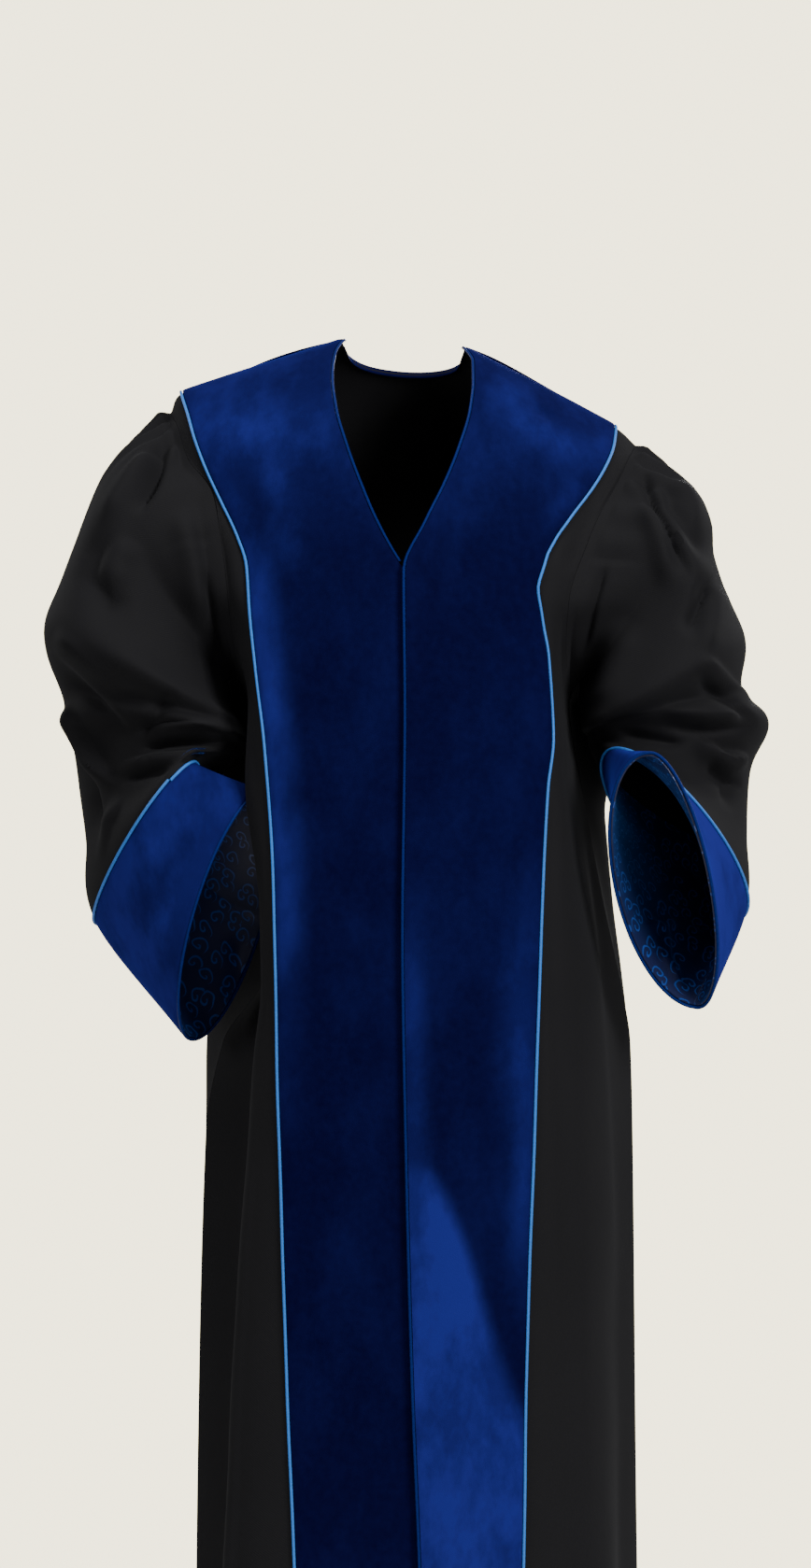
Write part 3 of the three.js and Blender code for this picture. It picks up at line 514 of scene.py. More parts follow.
def front_rows():
    """Drops down a front, close together where the cloth turns over the shoulder."""
    near_shoulder = -60 * (np.arange(40) / 40) ** 2
    return np.concatenate([near_shoulder, np.linspace(-60, HEM, 208)])


def trimmed(points, first=0.0, last=0.0, top=0.0):
    """Pulls a grid's edges in, so that neighbouring pieces stay apart."""
    points = points.copy()
    if first:
        points[:, 0] += unit(points[:, 1] - points[:, 0]) * first
    if last:
        points[:, -1] += unit(points[:, -2] - points[:, -1]) * last
    if top:
        points[0] += unit(points[1] - points[0]) * top
    return points


black_twill = twill_material()
drops = front_rows()
f_band = np.linspace(0, BAND, 42)
f_side = np.linspace(BAND, 1, 52)[1:]
f_front = np.concatenate([f_band, f_side])
front_grids = {}
for side, outward in (("right", 1), ("left", -1)):
    f_grid, drop_grid = np.meshgrid(f_front, drops)
    points = trimmed(front(side, f_grid, drop_grid), last=EDGE_GAP, top=EDGE_GAP)
    normals = normals_of(points, outward)
    front_grids[side] = points, normals
    panel = shell(f"front_{side}", points, normals, -CLOTH / 2, CLOTH / 2)
    fasten(panel, black_twill, "cloth", f"front_{side}")


# ---- Velvet bands ------------------------------------------------------------------------------
# Wide bands of deep blue velvet down both fronts, shoulder wide at the top and narrower from the
# chest to the hem. They are laid on the black fronts and caught in the piped seam and the edge.
VELVET = 2.2


def blob(x, z, centre, size, tilt=0.0):
    """A soft oval, 1 in its middle."""
    dx, dz = x - centre[0], z - centre[1]
    c, s = math.cos(math.radians(tilt)), math.sin(math.radians(tilt))
    along, beside = dx * c + dz * s, -dx * s + dz * c
    return np.exp(-(along / size[0]) ** 2 - (beside / size[1]) ** 2)


brushed_patches = {
    # middle, half length and half width, tilt in degrees, how light
    "right": [((-132, -78), (50, 22), -12, 0.35), ((-168, -92), (20, 26), 60, 0.25),
              ((-112, -132), (34, 14), -50, 0.30), ((-150, -140), (30, 10), -60, 0.25),
              ((-82, -66), (22, 14), 20, 0.15), ((-96, -190), (26, 12), -70, 0.20)],
    "left": [((120, -86), (46, 14), -24, 0.35), ((160, -100), (24, 16), -30, 0.30),
             ((88, -52), (24, 14), -20, 0.20), ((134, -150), (26, 8), 55, 0.25),
             ((96, -590), (90, 20), 88, 0.45), ((98, -700), (90, 10), 88, 0.35)],
}
# Painted light: how much lighter the velvet is coloured at the top of each shoulder, where light falls from
# above.
painted_shoulder_light = {"right": 0.34, "left": 0.20}


def pile_and_painted_light_of(side, p):
    """How light the velvet is coloured, 0 dark and 1 light: painted light on the shoulders, brushed pile in
    patches, lighter strips beside the piping and the front edge, and a wedge of pile and painted highlight.
    """
    x, z = p[..., 0], p[..., 2]
    # Painted light on the shoulders, fading out between 50 and 240 mm below the shoulder line.
    pile_and_painted_light = painted_shoulder_light[side] * (1 - ramp(-z, 50, 240))
    for middle, size, tilt, light in brushed_patches[side]:
        pile_and_painted_light = pile_and_painted_light + light * blob(x, z, middle, size, tilt)
    if side == "right":
        from_piping = x - x[:, -1:]
        beside_piping = ramp(-z, 150, 230) * (1 - ramp(-z, 360, 760)) * (1 - ramp(from_piping, 4, 34))
        return np.clip(pile_and_painted_light + 0.62 * beside_piping, 0, 1)
    from_edge = x - x[:, :1]
    # Painted highlight with brushed pile: a lighter wedge low on the left band, starting at its edge and
    # widening downwards.
    pile_and_highlight_reach = through([690, 717, 771, 841, 919, 1000], [0, 20, 40, 62, 86, 118], -z)
    pile_and_highlight_wedge = ramp(-z, 680, 725) * (1 - ramp(from_edge, pile_and_highlight_reach - 10, pile_and_highlight_reach + 12))
    beside_edge = ramp(-z, 440, 640) * (1 - ramp(from_edge, 4, 26))
    return np.clip(pile_and_painted_light + np.maximum(0.95 * pile_and_highlight_wedge, 0.42 * beside_edge), 0, 1)


def edge_roll(points, reach, closed=False, least=0.35):
    """1 inside a piece, falling to least at its edges over reach, so that a thick cloth ends round."""
    rows, columns = points.shape[:2]
    down = np.linalg.norm(np.diff(points, axis=0), axis=-1)
    from_top = np.concatenate([np.zeros((1, columns)), np.cumsum(down, axis=0)])
    near = np.minimum(from_top, from_top[-1] - from_top)
    if not closed:
        side = np.linalg.norm(np.diff(points, axis=1), axis=-1)
        from_side = np.concatenate([np.zeros((rows, 1)), np.cumsum(side, axis=1)], axis=1)
        near = np.minimum(near, np.minimum(from_side, from_side[:, -1:] - from_side))
    t = np.clip(near / reach, 0, 1)
    return least + (1 - least) * np.sqrt(1 - (1 - t) ** 2)


def velvet_material():
    """Cotton velvet: pile that is nearly black seen straight on and glows where it leans away."""
    material = bpy.data.materials.new("blue_velvet")
    tree, output = shader_tree(material, "ShaderNodeOutputMaterial")
    place = node(tree, "ShaderNodeTexCoord").outputs["Object"]
    # The attribute read here makes the base colour lighter: painted light on the shoulders and cuffs, a
    # painted highlight low on the left band, and brushed pile.
    pile_and_painted_light = node(tree, "ShaderNodeAttribute", attribute_name="pile_and_painted_light").outputs["Fac"]
    stretched = node(tree, "ShaderNodeMapping", [("Vector", place), ("Scale", (1.0, 1.0, 0.55)),
                                                 ("Rotation", (0.0, 0.5, 0.0))]).outputs[0]
    broad = node(tree, "ShaderNodeTexNoise", [("Vector", stretched), ("Scale", 16.0), ("Detail", 5.0),
                                              ("Roughness", 0.62)]).outputs[0]
    fine = node(tree, "ShaderNodeTexNoise", [("Vector", place), ("Scale", 150.0), ("Detail", 3.0)]).outputs[0]
    patches = node(tree, "ShaderNodeMapRange", [("Value", broad), ("From Min", 0.42), ("From Max", 0.68),
                                                ("To Min", 0.0), ("To Max", 1.0)]).outputs[0]
    strength = node(tree, "ShaderNodeMath", [(0, pile_and_painted_light), (1, 0.75), (2, 0.10)],
                    operation="MULTIPLY_ADD").outputs[0]
    mottled = node(tree, "ShaderNodeMath", [(0, patches), (1, strength)], operation="MULTIPLY").outputs[0]
    pile_and_light_mix = node(tree, "ShaderNodeMath", [(0, pile_and_painted_light), (1, 0.55), (2, mottled)],
                    operation="MULTIPLY_ADD").outputs[0]
    grain = node(tree, "ShaderNodeMath", [(0, fine), (1, 0.12), (2, pile_and_light_mix)],
                 operation="MULTIPLY_ADD", use_clamp=True).outputs[0]
    tone = node(tree, "ShaderNodeMix", [("Factor", grain), ("A", (0.0006, 0.0003, 0.0150, 1)),
                                        ("B", (0.0110, 0.0145, 0.150, 1))], data_type="RGBA")
    pile = node(tree, "ShaderNodeTexNoise", [("Vector", place), ("Scale", 1400.0), ("Detail", 2.0)])
    bump = node(tree, "ShaderNodeBump", [("Strength", 0.4), ("Distance", 0.0004),
                                         ("Height", pile.outputs[0])])
    velvet = node(tree, "ShaderNodeBsdfPrincipled", [
        ("Base Color", tone.outputs["Result"]), ("Roughness", 0.9), ("Normal", bump.outputs[0]),
        ("Specular IOR Level", 0.03), ("Sheen Weight", 0.35), ("Sheen Roughness", 0.32),
        ("Sheen Tint", (0.030, 0.070, 0.66, 1))])
    tree.links.new(velvet.outputs[0], output.inputs["Surface"])
    return material


blue_velvet = velvet_material()
band_columns = len(f_band)
f_grid, drop_grid = np.meshgrid(f_band, drops)
for side, outward in (("right", 1), ("left", -1)):
    panel_points, panel_normals = front_grids[side]
    points = trimmed(panel_points[:, :band_columns], last=SEAM)
    normals = panel_normals[:, :band_columns]
    # Each band's colour is lightened by painted light and brushed pile, kept at its points.
    band = shell(f"velvet_band_{side}", points, normals, CLOTH / 2 + SEAM, CLOTH / 2 + SEAM + VELVET,
                 edges=edge_roll(points, 3.5), marks=[("pile_and_painted_light", pile_and_painted_light_of(side, points))])
    fasten(band, blue_velvet, "velvet", f"velvet_band_{side}")


# ---- Piping down the fronts --------------------------------------------------------------------
# A thin cord covered in pale blue satin, caught in the seam between each velvet band and the black.
PIPING_R = 1.3
CORD_ROUND = 12


def tube(name, centres, outs, acrosses, radius, closed=False):
    """A round cord along centres, with two directions across it at each."""
    angle = (np.arange(CORD_ROUND) + 0.5) * 2 * math.pi / CORD_ROUND
    ring = (outs[:, None] * np.cos(angle)[None, :, None] + acrosses[:, None] * np.sin(angle)[None, :, None])
    vertices = (centres[:, None] + ring * radius).reshape(-1, 3)
    count = len(centres)
    index = np.arange(count * CORD_ROUND).reshape(count, CORD_ROUND)
    if closed:
        index = np.concatenate([index, index[:1]])
    index = np.concatenate([index, index[:, :1]], axis=1)
    quads = np.stack([index[:-1, :-1], index[1:, :-1], index[1:, 1:], index[:-1, 1:]], axis=-1).reshape(-1, 4)
    along = np.concatenate([[0], np.cumsum(np.linalg.norm(np.diff(centres, axis=0), axis=-1))]) * MM
    turn = angle / (2 * math.pi)
    cut = vec(*np.meshgrid(turn, along), 0.0).reshape(-1, 3)
    if not closed:
        tips = np.stack([centres[0], centres[-1]])
        start, end = count * CORD_ROUND, count * CORD_ROUND + 1
        vertices = np.concatenate([vertices, tips])
        cut = np.concatenate([cut, [[0, along[0], 0], [0, along[-1], 0]]])
        k = np.arange(CORD_ROUND // 2) * 2
        first, last = index[0], index[count - 1]
        caps = [np.stack([np.full(len(k), start), first[k + 2], first[k + 1], first[k]], axis=-1),
                np.stack([np.full(len(k), end), last[k], last[k + 1], last[k + 2]], axis=-1)]
        quads = np.concatenate([quads, *caps])
    return mesh_piece(name, vertices, quads, [("cut", cut)])


def satin_material(name, deep, light, bloom):
    """Bias-cut satin pulled round a cord: fine slanting ruckles and a silky gleam."""
    material = bpy.data.materials.new(name)
    tree, output = shader_tree(material, "ShaderNodeOutputMaterial")
    cut = node(tree, "ShaderNodeAttribute", attribute_name="cut").outputs["Vector"]
    slant = node(tree, "ShaderNodeMapping", [("Vector", cut), ("Scale", (2.0, 700.0, 1.0))]).outputs[0]
    ruckle = node(tree, "ShaderNodeTexNoise", [("Vector", slant), ("Scale", 1.0), ("Detail", 2.0)]).outputs[0]
    tone = node(tree, "ShaderNodeMix", [("Factor", ruckle), ("A", (*deep, 1)), ("B", (*light, 1))],
                data_type="RGBA")
    bump = node(tree, "ShaderNodeBump", [("Strength", 0.35), ("Distance", 0.0003), ("Height", ruckle)])
    satin = node(tree, "ShaderNodeBsdfPrincipled", [
        ("Base Color", tone.outputs["Result"]), ("Roughness", 0.36), ("Normal", bump.outputs[0]),
        ("Specular IOR Level", 0.4), ("Specular Tint", (*light, 1)), ("Sheen Weight", bloom),
        ("Sheen Roughness", 0.3), ("Sheen Tint", (*light, 1))])
    tree.links.new(satin.outputs[0], output.inputs["Surface"])
    return material


pale_satin = satin_material("pale_blue_satin", (0.022, 0.115, 0.42), (0.05, 0.22, 0.66), 0.1)
for side in ("right", "left"):
    panel_points, panel_normals = front_grids[side]
    line = panel_points[:, band_columns - 1]
    sideways = unit(panel_points[:, band_columns] - panel_points[:, band_columns - 2])
    out = panel_normals[:, band_columns - 1]
    centres = line + sideways * (PIPING_R + SEAM) + out * (CLOTH / 2 + SEAM + PIPING_R)
    piping = tube(f"piping_front_{side}", centres, out, sideways, PIPING_R)
    fasten(piping, pale_satin, "piping", f"piping_front_{side}")


# ---- Corded edges of the fronts ----------------------------------------------------------------
# The neckline and the left front's edge are bound over a cord in mid blue satin. On the right front
# the cord ends where that front runs under the left one.
CORD_R = 1.3
NECK_CORD_ENDS = -208
deep_satin = satin_material("deep_blue_satin", (0.002, 0.006, 0.060), (0.006, 0.020, 0.14), 0.05)
for side in ("right", "left"):
    panel_points, panel_normals = front_grids[side]
    rows = len(drops) if side == "left" else int((drops >= NECK_CORD_ENDS).sum())
    line, out = panel_points[:rows, 0], panel_normals[:rows, 0]
    sideways = unit(panel_points[:rows, 1] - line)
    centres = line - sideways * (CORD_R + SEAM) + out * (CLOTH / 2 + SEAM)
    cord = tube(f"edge_cord_{side}", centres, out, sideways, CORD_R)
    fasten(cord, deep_satin, "cord", f"edge_cord_{side}")


# ---- Black back --------------------------------------------------------------------------------
# One full back of the same twill, joined to the fronts at the shoulders and sides. It falls from
# under the yoke in long pressed folds that open towards the hem.
BACK_DEPTH = 124
UNDERARM_EASE = 34
NECK_DIP = 22
NECK_DIP_ENDS = 200
NECK_F = 0.262
back_x = [96, 98, 100, 101, 102, 104, 108, 112]
back_y = [120, 132, 140, 144, 149, 156, 176, 192]
back_centre_y = [126, 140, 149, 153, 158, 165, 184, 200]
back_folds = [(-0.8, 0.1, 16, -520), (-0.63, 0.09, -17, -430), (-0.46, 0.1, 15, -240),
              (-0.26, 0.1, -17, -200), (-0.07, 0.09, 15, -170), (0.12, 0.1, -18, -170),
              (0.31, 0.1, 15, -210), (0.52, 0.1, -15, -260), (0.72, 0.11, 17, -450)]
back_creases = [
    ([(-150, -215), (-120, -255), (-92, -330)], 10, -3.0, 0.3),
    ([(-168, -205), (-140, -270), (-128, -380)], 12, 3.0, 0.2),
    ([(148, -215), (116, -262), (84, -350)], 11, -3.0, 0.3),
    ([(160, -220), (138, -290), (124, -400)], 12, 3.0, 0.2),
    ([(-60, -216), (-54, -330), (-40, -480)], 9, -2.2, 0.2),
    ([(52, -216), (46, -320), (36, -460)], 9, 2.2, 0.2),
    ([(-110, -520), (-100, -760), (-112, -1040)], 12, -3.4, 0.3),
    ([(96, -560), (104, -800), (112, -1120)], 13, -3.4, 0.3),
]


def back_form(f, drop):
    right, left = armhole_edge("right", "back", drop), armhole_edge("left", "back", drop)
    stations = [-1, -0.62, -0.3, 0, 0.3, 0.62, 1]
    upper = [right]
    for s in stations[1:-1]:
        x = -s * right[..., 0] if s < 0 else s * left[..., 0]
        y = BACK_DEPTH * round_share(x, drop) * cap_share(drop, 164, 1)
        upper.append(vec(x, y, height_at(x, drop)))
    upper.append(left)
    own = {side: {key: at_level(values, drop) for key, values in sections[side].items()} for side in sections}
    wide, deep = at_level(back_x, drop), at_level(back_y, drop)
    lower = [vec(own["right"]["side_x"], own["right"]["side_y"], drop),
             vec(own["right"]["rear_x"], own["right"]["rear_y"], drop),
             vec(-wide, deep, drop), vec(0, at_level(back_centre_y, drop), drop), vec(wide, deep, drop),
             vec(own["left"]["rear_x"], own["left"]["rear_y"], drop),
             vec(own["left"]["side_x"], own["left"]["side_y"], drop)]
    p = mix(spline(stations, upper, f), spline(stations, lower, f), ramp(-drop, 250, 400)[..., None])
    # The back eases out below the armholes, so that it fills the hollow beside the sleeves.
    side_panel = np.exp(-((np.abs(f) - 0.78) / 0.12) ** 2)
    below_arm = ramp(-drop, 252, 288) * (1 - ramp(-drop, 330, 420))
    p[..., 0] += np.sign(f) * UNDERARM_EASE * side_panel * below_arm
    out = unit(vec(p[..., 0] * 0.5, p[..., 1] + 40, 0))
    return p + out * (fold_lift(back_folds, f, drop) * (1 - ramp(np.abs(f), 0.9, 1)))[..., None]


def back(f, drop):
    """The back with its creases; its top edge dips at the neck."""
    dip = -NECK_DIP * np.sqrt(np.maximum(0, 1 - (f / NECK_F) ** 2))
    p = back_form(f, drop + dip * (1 - ramp(-drop, 0, NECK_DIP_ENDS)))
    lift = crease_lift(p[..., 0], p[..., 2], back_creases) * ramp(p[..., 1], 15, 50) + slack(p, 0.9, 95)
    lift = lift * (1 - ramp(np.abs(f), 0.88, 1)) * ramp(-drop, 0, 40)
    return p + normals_of(p, 1) * lift[..., None]


f_back = np.linspace(-1, 1, 131)
f_grid, drop_grid = np.meshgrid(f_back, drops)
back_points = trimmed(back(f_grid, drop_grid), first=EDGE_GAP, last=EDGE_GAP, top=EDGE_GAP)
back_normals = normals_of(back_points, 1)
back_panel = shell("back", back_points, back_normals, -CLOTH / 2, CLOTH / 2)
fasten(back_panel, black_twill, "cloth", "back")


# ---- Velvet yoke -------------------------------------------------------------------------------
# A velvet yoke over the shoulder blades carries on the bands' velvet behind the neck. It is laid on
# the back and piped down its sides and along its lower edge, and a cord finishes the neck.
AROUND = 20
YOKE_LIFT = 0.9
YOKE_F = (-0.9, 0.89)


def armhole_drop(k):
    """The drop of the armhole seam at step k of AROUND, counted from the shoulder to the front."""
    return UNDERARM * (1 - np.cos(2 * math.pi * k / AROUND)) / 2


yoke_depth = armhole_drop(6)
yoke_rows = np.concatenate([drops[drops > yoke_depth + 2], [yoke_depth]])
yoke_f = np.linspace(*YOKE_F, 110)
f_grid, drop_grid = np.meshgrid(yoke_f, yoke_rows)
yoke_points = trimmed(back(f_grid, drop_grid), top=EDGE_GAP)
yoke_normals = normals_of(yoke_points, 1)
yoke_nap = (0.5 * blob(yoke_points[..., 0], yoke_points[..., 2], (-95, -75), (60, 28), 10)
            + 0.45 * blob(yoke_points[..., 0], yoke_points[..., 2], (105, -95), (55, 26), -14)
            + 0.2 * blob(yoke_points[..., 0], yoke_points[..., 2], (10, -150), (70, 30), 0))
yoke = shell("velvet_yoke", yoke_points, yoke_normals, CLOTH / 2 + YOKE_LIFT, CLOTH / 2 + YOKE_LIFT + VELVET,
             edges=edge_roll(yoke_points, 3.5), marks=[("pile_and_painted_light", yoke_nap)])
fasten(yoke, blue_velvet, "velvet", "velvet_yoke")


def grid_directions(points):
    return unit(np.gradient(points, axis=1)), unit(np.gradient(points, axis=0))


across, down = grid_directions(yoke_points)
side_rows = np.arange(len(yoke_rows) - 1)
low = len(yoke_rows) - 1
route = ([(r, 0, -1, 0) for r in side_rows] + [(low, 0, -1, 1)]
         + [(low, c, 0, 1) for c in range(1, len(yoke_f) - 1)] + [(low, len(yoke_f) - 1, 1, 1)]
         + [(r, len(yoke_f) - 1, 1, 0) for r in side_rows[::-1]])
r, c, sideways, downward = (np.array(column) for column in zip(*route))
away = across[r, c] * sideways[:, None] + down[r, c] * downward[:, None]
out = yoke_normals[r, c]
centres = yoke_points[r, c] + away * (PIPING_R + SEAM) + out * (CLOTH / 2 + YOKE_LIFT + PIPING_R)
yoke_piping = tube("piping_yoke", centres, out, unit(away), PIPING_R)
fasten(yoke_piping, pale_satin, "piping", "piping_yoke")

near_neck = np.abs(f_back) < NECK_F - 0.03
across, down = grid_directions(back_points)
away, out = -down[0, near_neck], back_normals[0, near_neck]
centres = back_points[0, near_neck] + away * (CORD_R + SEAM) + out * (CLOTH / 2 + SEAM)
neck_cord = tube("edge_cord_back", centres, out, away, CORD_R)
fasten(neck_cord, deep_satin, "cord", "edge_cord_back")


# ---- Sleeves -----------------------------------------------------------------------------------
# Full sleeves in black twill, gathered into the top of the armhole and drawn up at the elbow, so
# that each falls in bunched folds. Each ring has an outer and an inner point, and how far its front
# and back stand from its middle; the last two rings are the cuff's top and mouth.
HEAD_TUCK = 8
TUCK_RISE = 1.5
sleeve_rings = {
    "right": [
        ((-262, 5, -118), (-160, 0, -296), (-12, -90, 8), (12, 92, -8)),
        ((-302, 12, -208), (-151, -4, -326), (-6, -104, 4), (8, 102, -4)),
        ((-320, 22, -275), (-144, -14, -338), (2, -108, 6), (0, 100, -4)),
        ((-302, 40, -330), (-138, -25, -354), (0, -95, 15), (2, 88, -12)),
        ((-297, 52, -378), (-146, -32, -360), (-5, -80, 20), (4, 76, -20)),
        ((-287, 45, -445), (-158, -52, -364), (-8, -72, 18), (10, 68, -20)),
        ((-276, 22, -514), (-182, -84, -372), (-5, -66, 10), (12, 62, -14)),
        ((-190, -38, -612), (-121, -60, -399), (-22, -60, 18), (24, 60, -18)),
    ],
    "left": [
        ((252, 3, -141), (158, 0, -295), (12, -88, 8), (-12, 90, -8)),
        ((283, 8, -228), (154, -4, -326), (5, -102, 4), (-6, 100, -4)),
        ((300, 18, -292), (155, -14, -342), (0, -106, 6), (0, 98, -4)),
        ((317, 35, -340), (160, -16, -346), (0, -94, 14), (0, 86, -12)),
        ((309, 44, -385), (161, -20, -351), (6, -82, 16), (-2, 72, -16)),
        ((303, 34, -445), (165, -32, -356), (16, -68, 14), (-8, 58, -18)),
        ((294, 4, -510), (176, -68, -362), (26, -56, 12), (-22, 44, -14)),
        ((247, -93, -580), (206, -145, -364), (31, -18, -8), (-50, 14, 4)),
    ],
}
# Large soft folds: place down the sleeve, place round it, half widths, and how proud.
sleeve_folds = {
    "right": [(4.6, 3.3, 0.5, 3.3, 12.2), (5.5, 4.2, 0.4, 3.3, -10.8), (6.2, 3.3, 0.5, 3.3, 10.8),
              (3.2, 5.8, 0.9, 1.7, -9.5),
              (3, 2.8, 1.4, 1.1, 8.1), (5, 16.7, 0.6, 3.3, -9.5), (3.8, 15, 0.8, 2.5, 8.1)],
    "left": [(4.6, 2.5, 0.5, 3.3, 12.2), (5.3, 3, 0.4, 3.3, -10.8), (6, 2.5, 0.5, 3.3, 10.8),
             (3.4, 5.4, 0.9, 1.7, -9.5),
             (3, 3.3, 1.4, 1.1, 8.1), (5, 16.7, 0.6, 3.3, -9.5), (3.8, 15, 0.8, 2.5, 8.1)],
}
# Gathers at the head: place round the sleeve, half width, how proud, and how far down they run.
gathers = {
    "right": [(-4.6, 0.35, 5.4, 2.5), (-3.7, 0.3, 8.1, 3.4), (-2.9, 0.35, 5.4, 3.0), (-2.0, 0.3, 8.8, 3.9),
              (-1.2, 0.32, 6.1, 2.8), (-0.35, 0.3, 8.8, 3.7), (0.45, 0.33, 6.8, 3.2), (1.3, 0.3, 8.8, 4.1),
              (2.1, 0.34, 6.1, 3.0), (2.9, 0.3, 8.1, 3.7), (3.8, 0.4, 4.9, 2.8), (4.7, 0.4, 4.1, 2.3)],
    "left": [(-4.8, 0.35, 5.4, 2.5), (-3.9, 0.33, 8.1, 3.2), (-3.0, 0.3, 6.1, 2.8), (-2.2, 0.33, 8.1, 3.7),
             (-1.3, 0.3, 6.8, 3.0), (-0.5, 0.32, 8.1, 3.9), (0.3, 0.3, 6.1, 2.8), (1.1, 0.32, 8.8, 3.9),
             (2.0, 0.33, 6.8, 3.4), (2.8, 0.3, 7.4, 3.0), (3.7, 0.4, 5.4, 3.4), (4.6, 0.4, 4.1, 2.5)],
}
sleeve_creases = {
    "right": [
        ([(-204, -75), (-210, -99), (-218, -131), (-234, -160)], 6, -10.4, 0.3),
        ([(-218, -91), (-238, -131), (-262, -168)], 9.4, 7.3, 0.0),
        ([(-184, -110), (-170, -154), (-160, -210), (-156, -262), (-152, -310)], 7.7, -10.4, 0.2),
        ([(-196, -150), (-184, -205), (-176, -262)], 9.4, 6.2, 0.0),
        ([(-172, -200), (-160, -245), (-152, -290)], 6, -8.3, 0.2),
        ([(-251, -166), (-267, -190), (-271, -210), (-255, -234), (-227, -238)], 11.1, -7.5, 0.3),
        ([(-235, -178), (-248, -205), (-240, -224)], 10.3, 5.5, 0.0),
        ([(-309, -278), (-289, -295), (-261, -322), (-231, -352)], 6.8, -10.4, 0.4),
        ([(-304, -258), (-278, -284), (-248, -312)], 10.3, 7.5, 0.2),
        ([(-192, -310), (-212, -330), (-230, -352)], 6, -8.3, 0.2),
        ([(-230, -350), (-206, -343), (-183, -341), (-155, -343)], 6, 12.5, 0.4),
        ([(-229, -361), (-205, -355), (-180, -353), (-152, -354)], 3.8, -14.6, 0.2),
        ([(-255, -378), (-219, -369), (-179, -367), (-155, -366)], 5.1, 10.4, 0.3),
        ([(-250, -388), (-215, -380), (-178, -378)], 4.3, -9.4, 0.0),
        ([(-300, -316), (-286, -344), (-270, -372), (-248, -394)], 6, 15.6, 0.4),
        ([(-304, -336), (-290, -364), (-276, -398), (-266, -440)], 7.7, -15.6, 0.2),
        ([(-242, -398), (-256, -422), (-266, -470)], 4.3, 7.5, 0.3),
    ],
    "left": [
        ([(203, -103), (215, -140), (235, -188), (245, -220)], 6, -10.4, 0.3),
        ([(219, -123), (244, -164), (264, -200)], 8.5, -11.4, 0.2),
        ([(232, -118), (256, -152), (276, -190)], 7.7, 7.5, 0.0),
        ([(205, -140), (216, -180), (226, -226)], 7.7, 6.6, 0.0),
        ([(264, -209), (251, -245), (240, -266)], 6.8, -10.4, 0.3),
        ([(276, -216), (264, -250), (250, -280)], 7.7, 6.2, 0.0),
        ([(243, -294), (278, -318), (308, -338)], 5.1, -8.3, 0.3),
        ([(246, -280), (280, -304), (306, -322)], 6.8, 7.5, 0.2),
        ([(193, -246), (177, -286), (165, -326)], 12.8, 8.3, 0.0),
        ([(172, -196), (160, -236), (152, -280)], 6, -6.6, 0.2),
        ([(217, -338), (262, -341), (308, -338)], 4.3, -9.4, 0.2),
        ([(214, -328), (258, -331), (300, -330)], 6, 8.3, 0.0),
        ([(246, -350), (274, -368), (304, -368)], 6.8, 12.5, 0.4),
        ([(255, -366), (287, -392), (279, -416)], 7.7, -13.5, 0.2),
        ([(180, -344), (212, -350), (244, -356)], 5.1, -8.3, 0.2),
    ],
}
# The hidden backs of both sleeves crease in the same way, in a layout of their own.
sleeve_back_creases = [
    ([(190, -96), (214, -150), (232, -205)], 6.8, -9.4, 0.3),
    ([(206, -90), (236, -138), (258, -186)], 8.5, 7.5, 0.0),
    ([(168, -170), (160, -230), (155, -290)], 7.7, -8.3, 0.2),
    ([(286, -240), (256, -276), (222, -300)], 9.4, -8.7, 0.3),
    ([(296, -262), (262, -300), (224, -322)], 9.4, 7.9, 0.0),
    ([(300, -330), (262, -336), (214, -330)], 5.1, -10.4, 0.2),
    ([(304, -346), (262, -354), (210, -348)], 6, 10.4, 0.3),
    ([(300, -378), (258, -380), (214, -366)], 5.1, -9.6, 0.2),
    ([(296, -404), (262, -402), (222, -384)], 6.8, 8.7, 0.0),
    ([(288, -430), (270, -466), (262, -500)], 6.8, -7.5, 0.2),
]
SLEEVE_COLUMNS = 200
SLEEVE_STATIONS = [0, 0.22, 3, 4, 5, 6, 7, 8, 9, 10]


def seam_frames(side):
    """At each of AROUND steps round the armhole: the way the cloth faces and the way out of the body."""
    sign = -1 if side == "right" else 1
    normals, aways = [], []
    for k in range(AROUND):
        is_front = k <= AROUND // 2
        place = (lambda f, d: front_form(side, f, d)) if is_front else (lambda f, d: back_form(sign * f, d))
        drop = float(armhole_drop(k))
        spot = lambda f, d: place(np.array([[f]]), np.array([[d]]))[0, 0]
        edge = spot(1.0, drop)
        inside = spot(0.97, drop) - edge
        along = spot(1.0, max(UNDERARM, drop - 3)) - spot(1.0, min(0.0, drop + 3))
        normal = unit(np.cross(along, inside)) * ((-sign if is_front else sign))
        away = unit(np.cross(normal, along))
        normals.append(normal)
        aways.append(-away if away @ inside > 0 else away)
    normals[0], aways[0] = unit(np.array([sign * 0.25, 0, 1])), unit(np.array([sign, 0, -0.3]))
    half = AROUND // 2
    normals[half], aways[half] = np.array([sign, 0, 0.0]), unit(np.array([sign * 0.1, 0, 1]))
    return np.array(normals), np.array(aways)


def round_armhole(values, k):
    """Values at AROUND steps, read smoothly at any k."""
    i = np.floor(k).astype(int)
    t = (k - i)[:, None]
    a, b, c, d = (values[(i + step) % AROUND] for step in (-1, 0, 1, 2))
    return hermite(t, b, c, (c - a) / 2, (d - b) / 2)


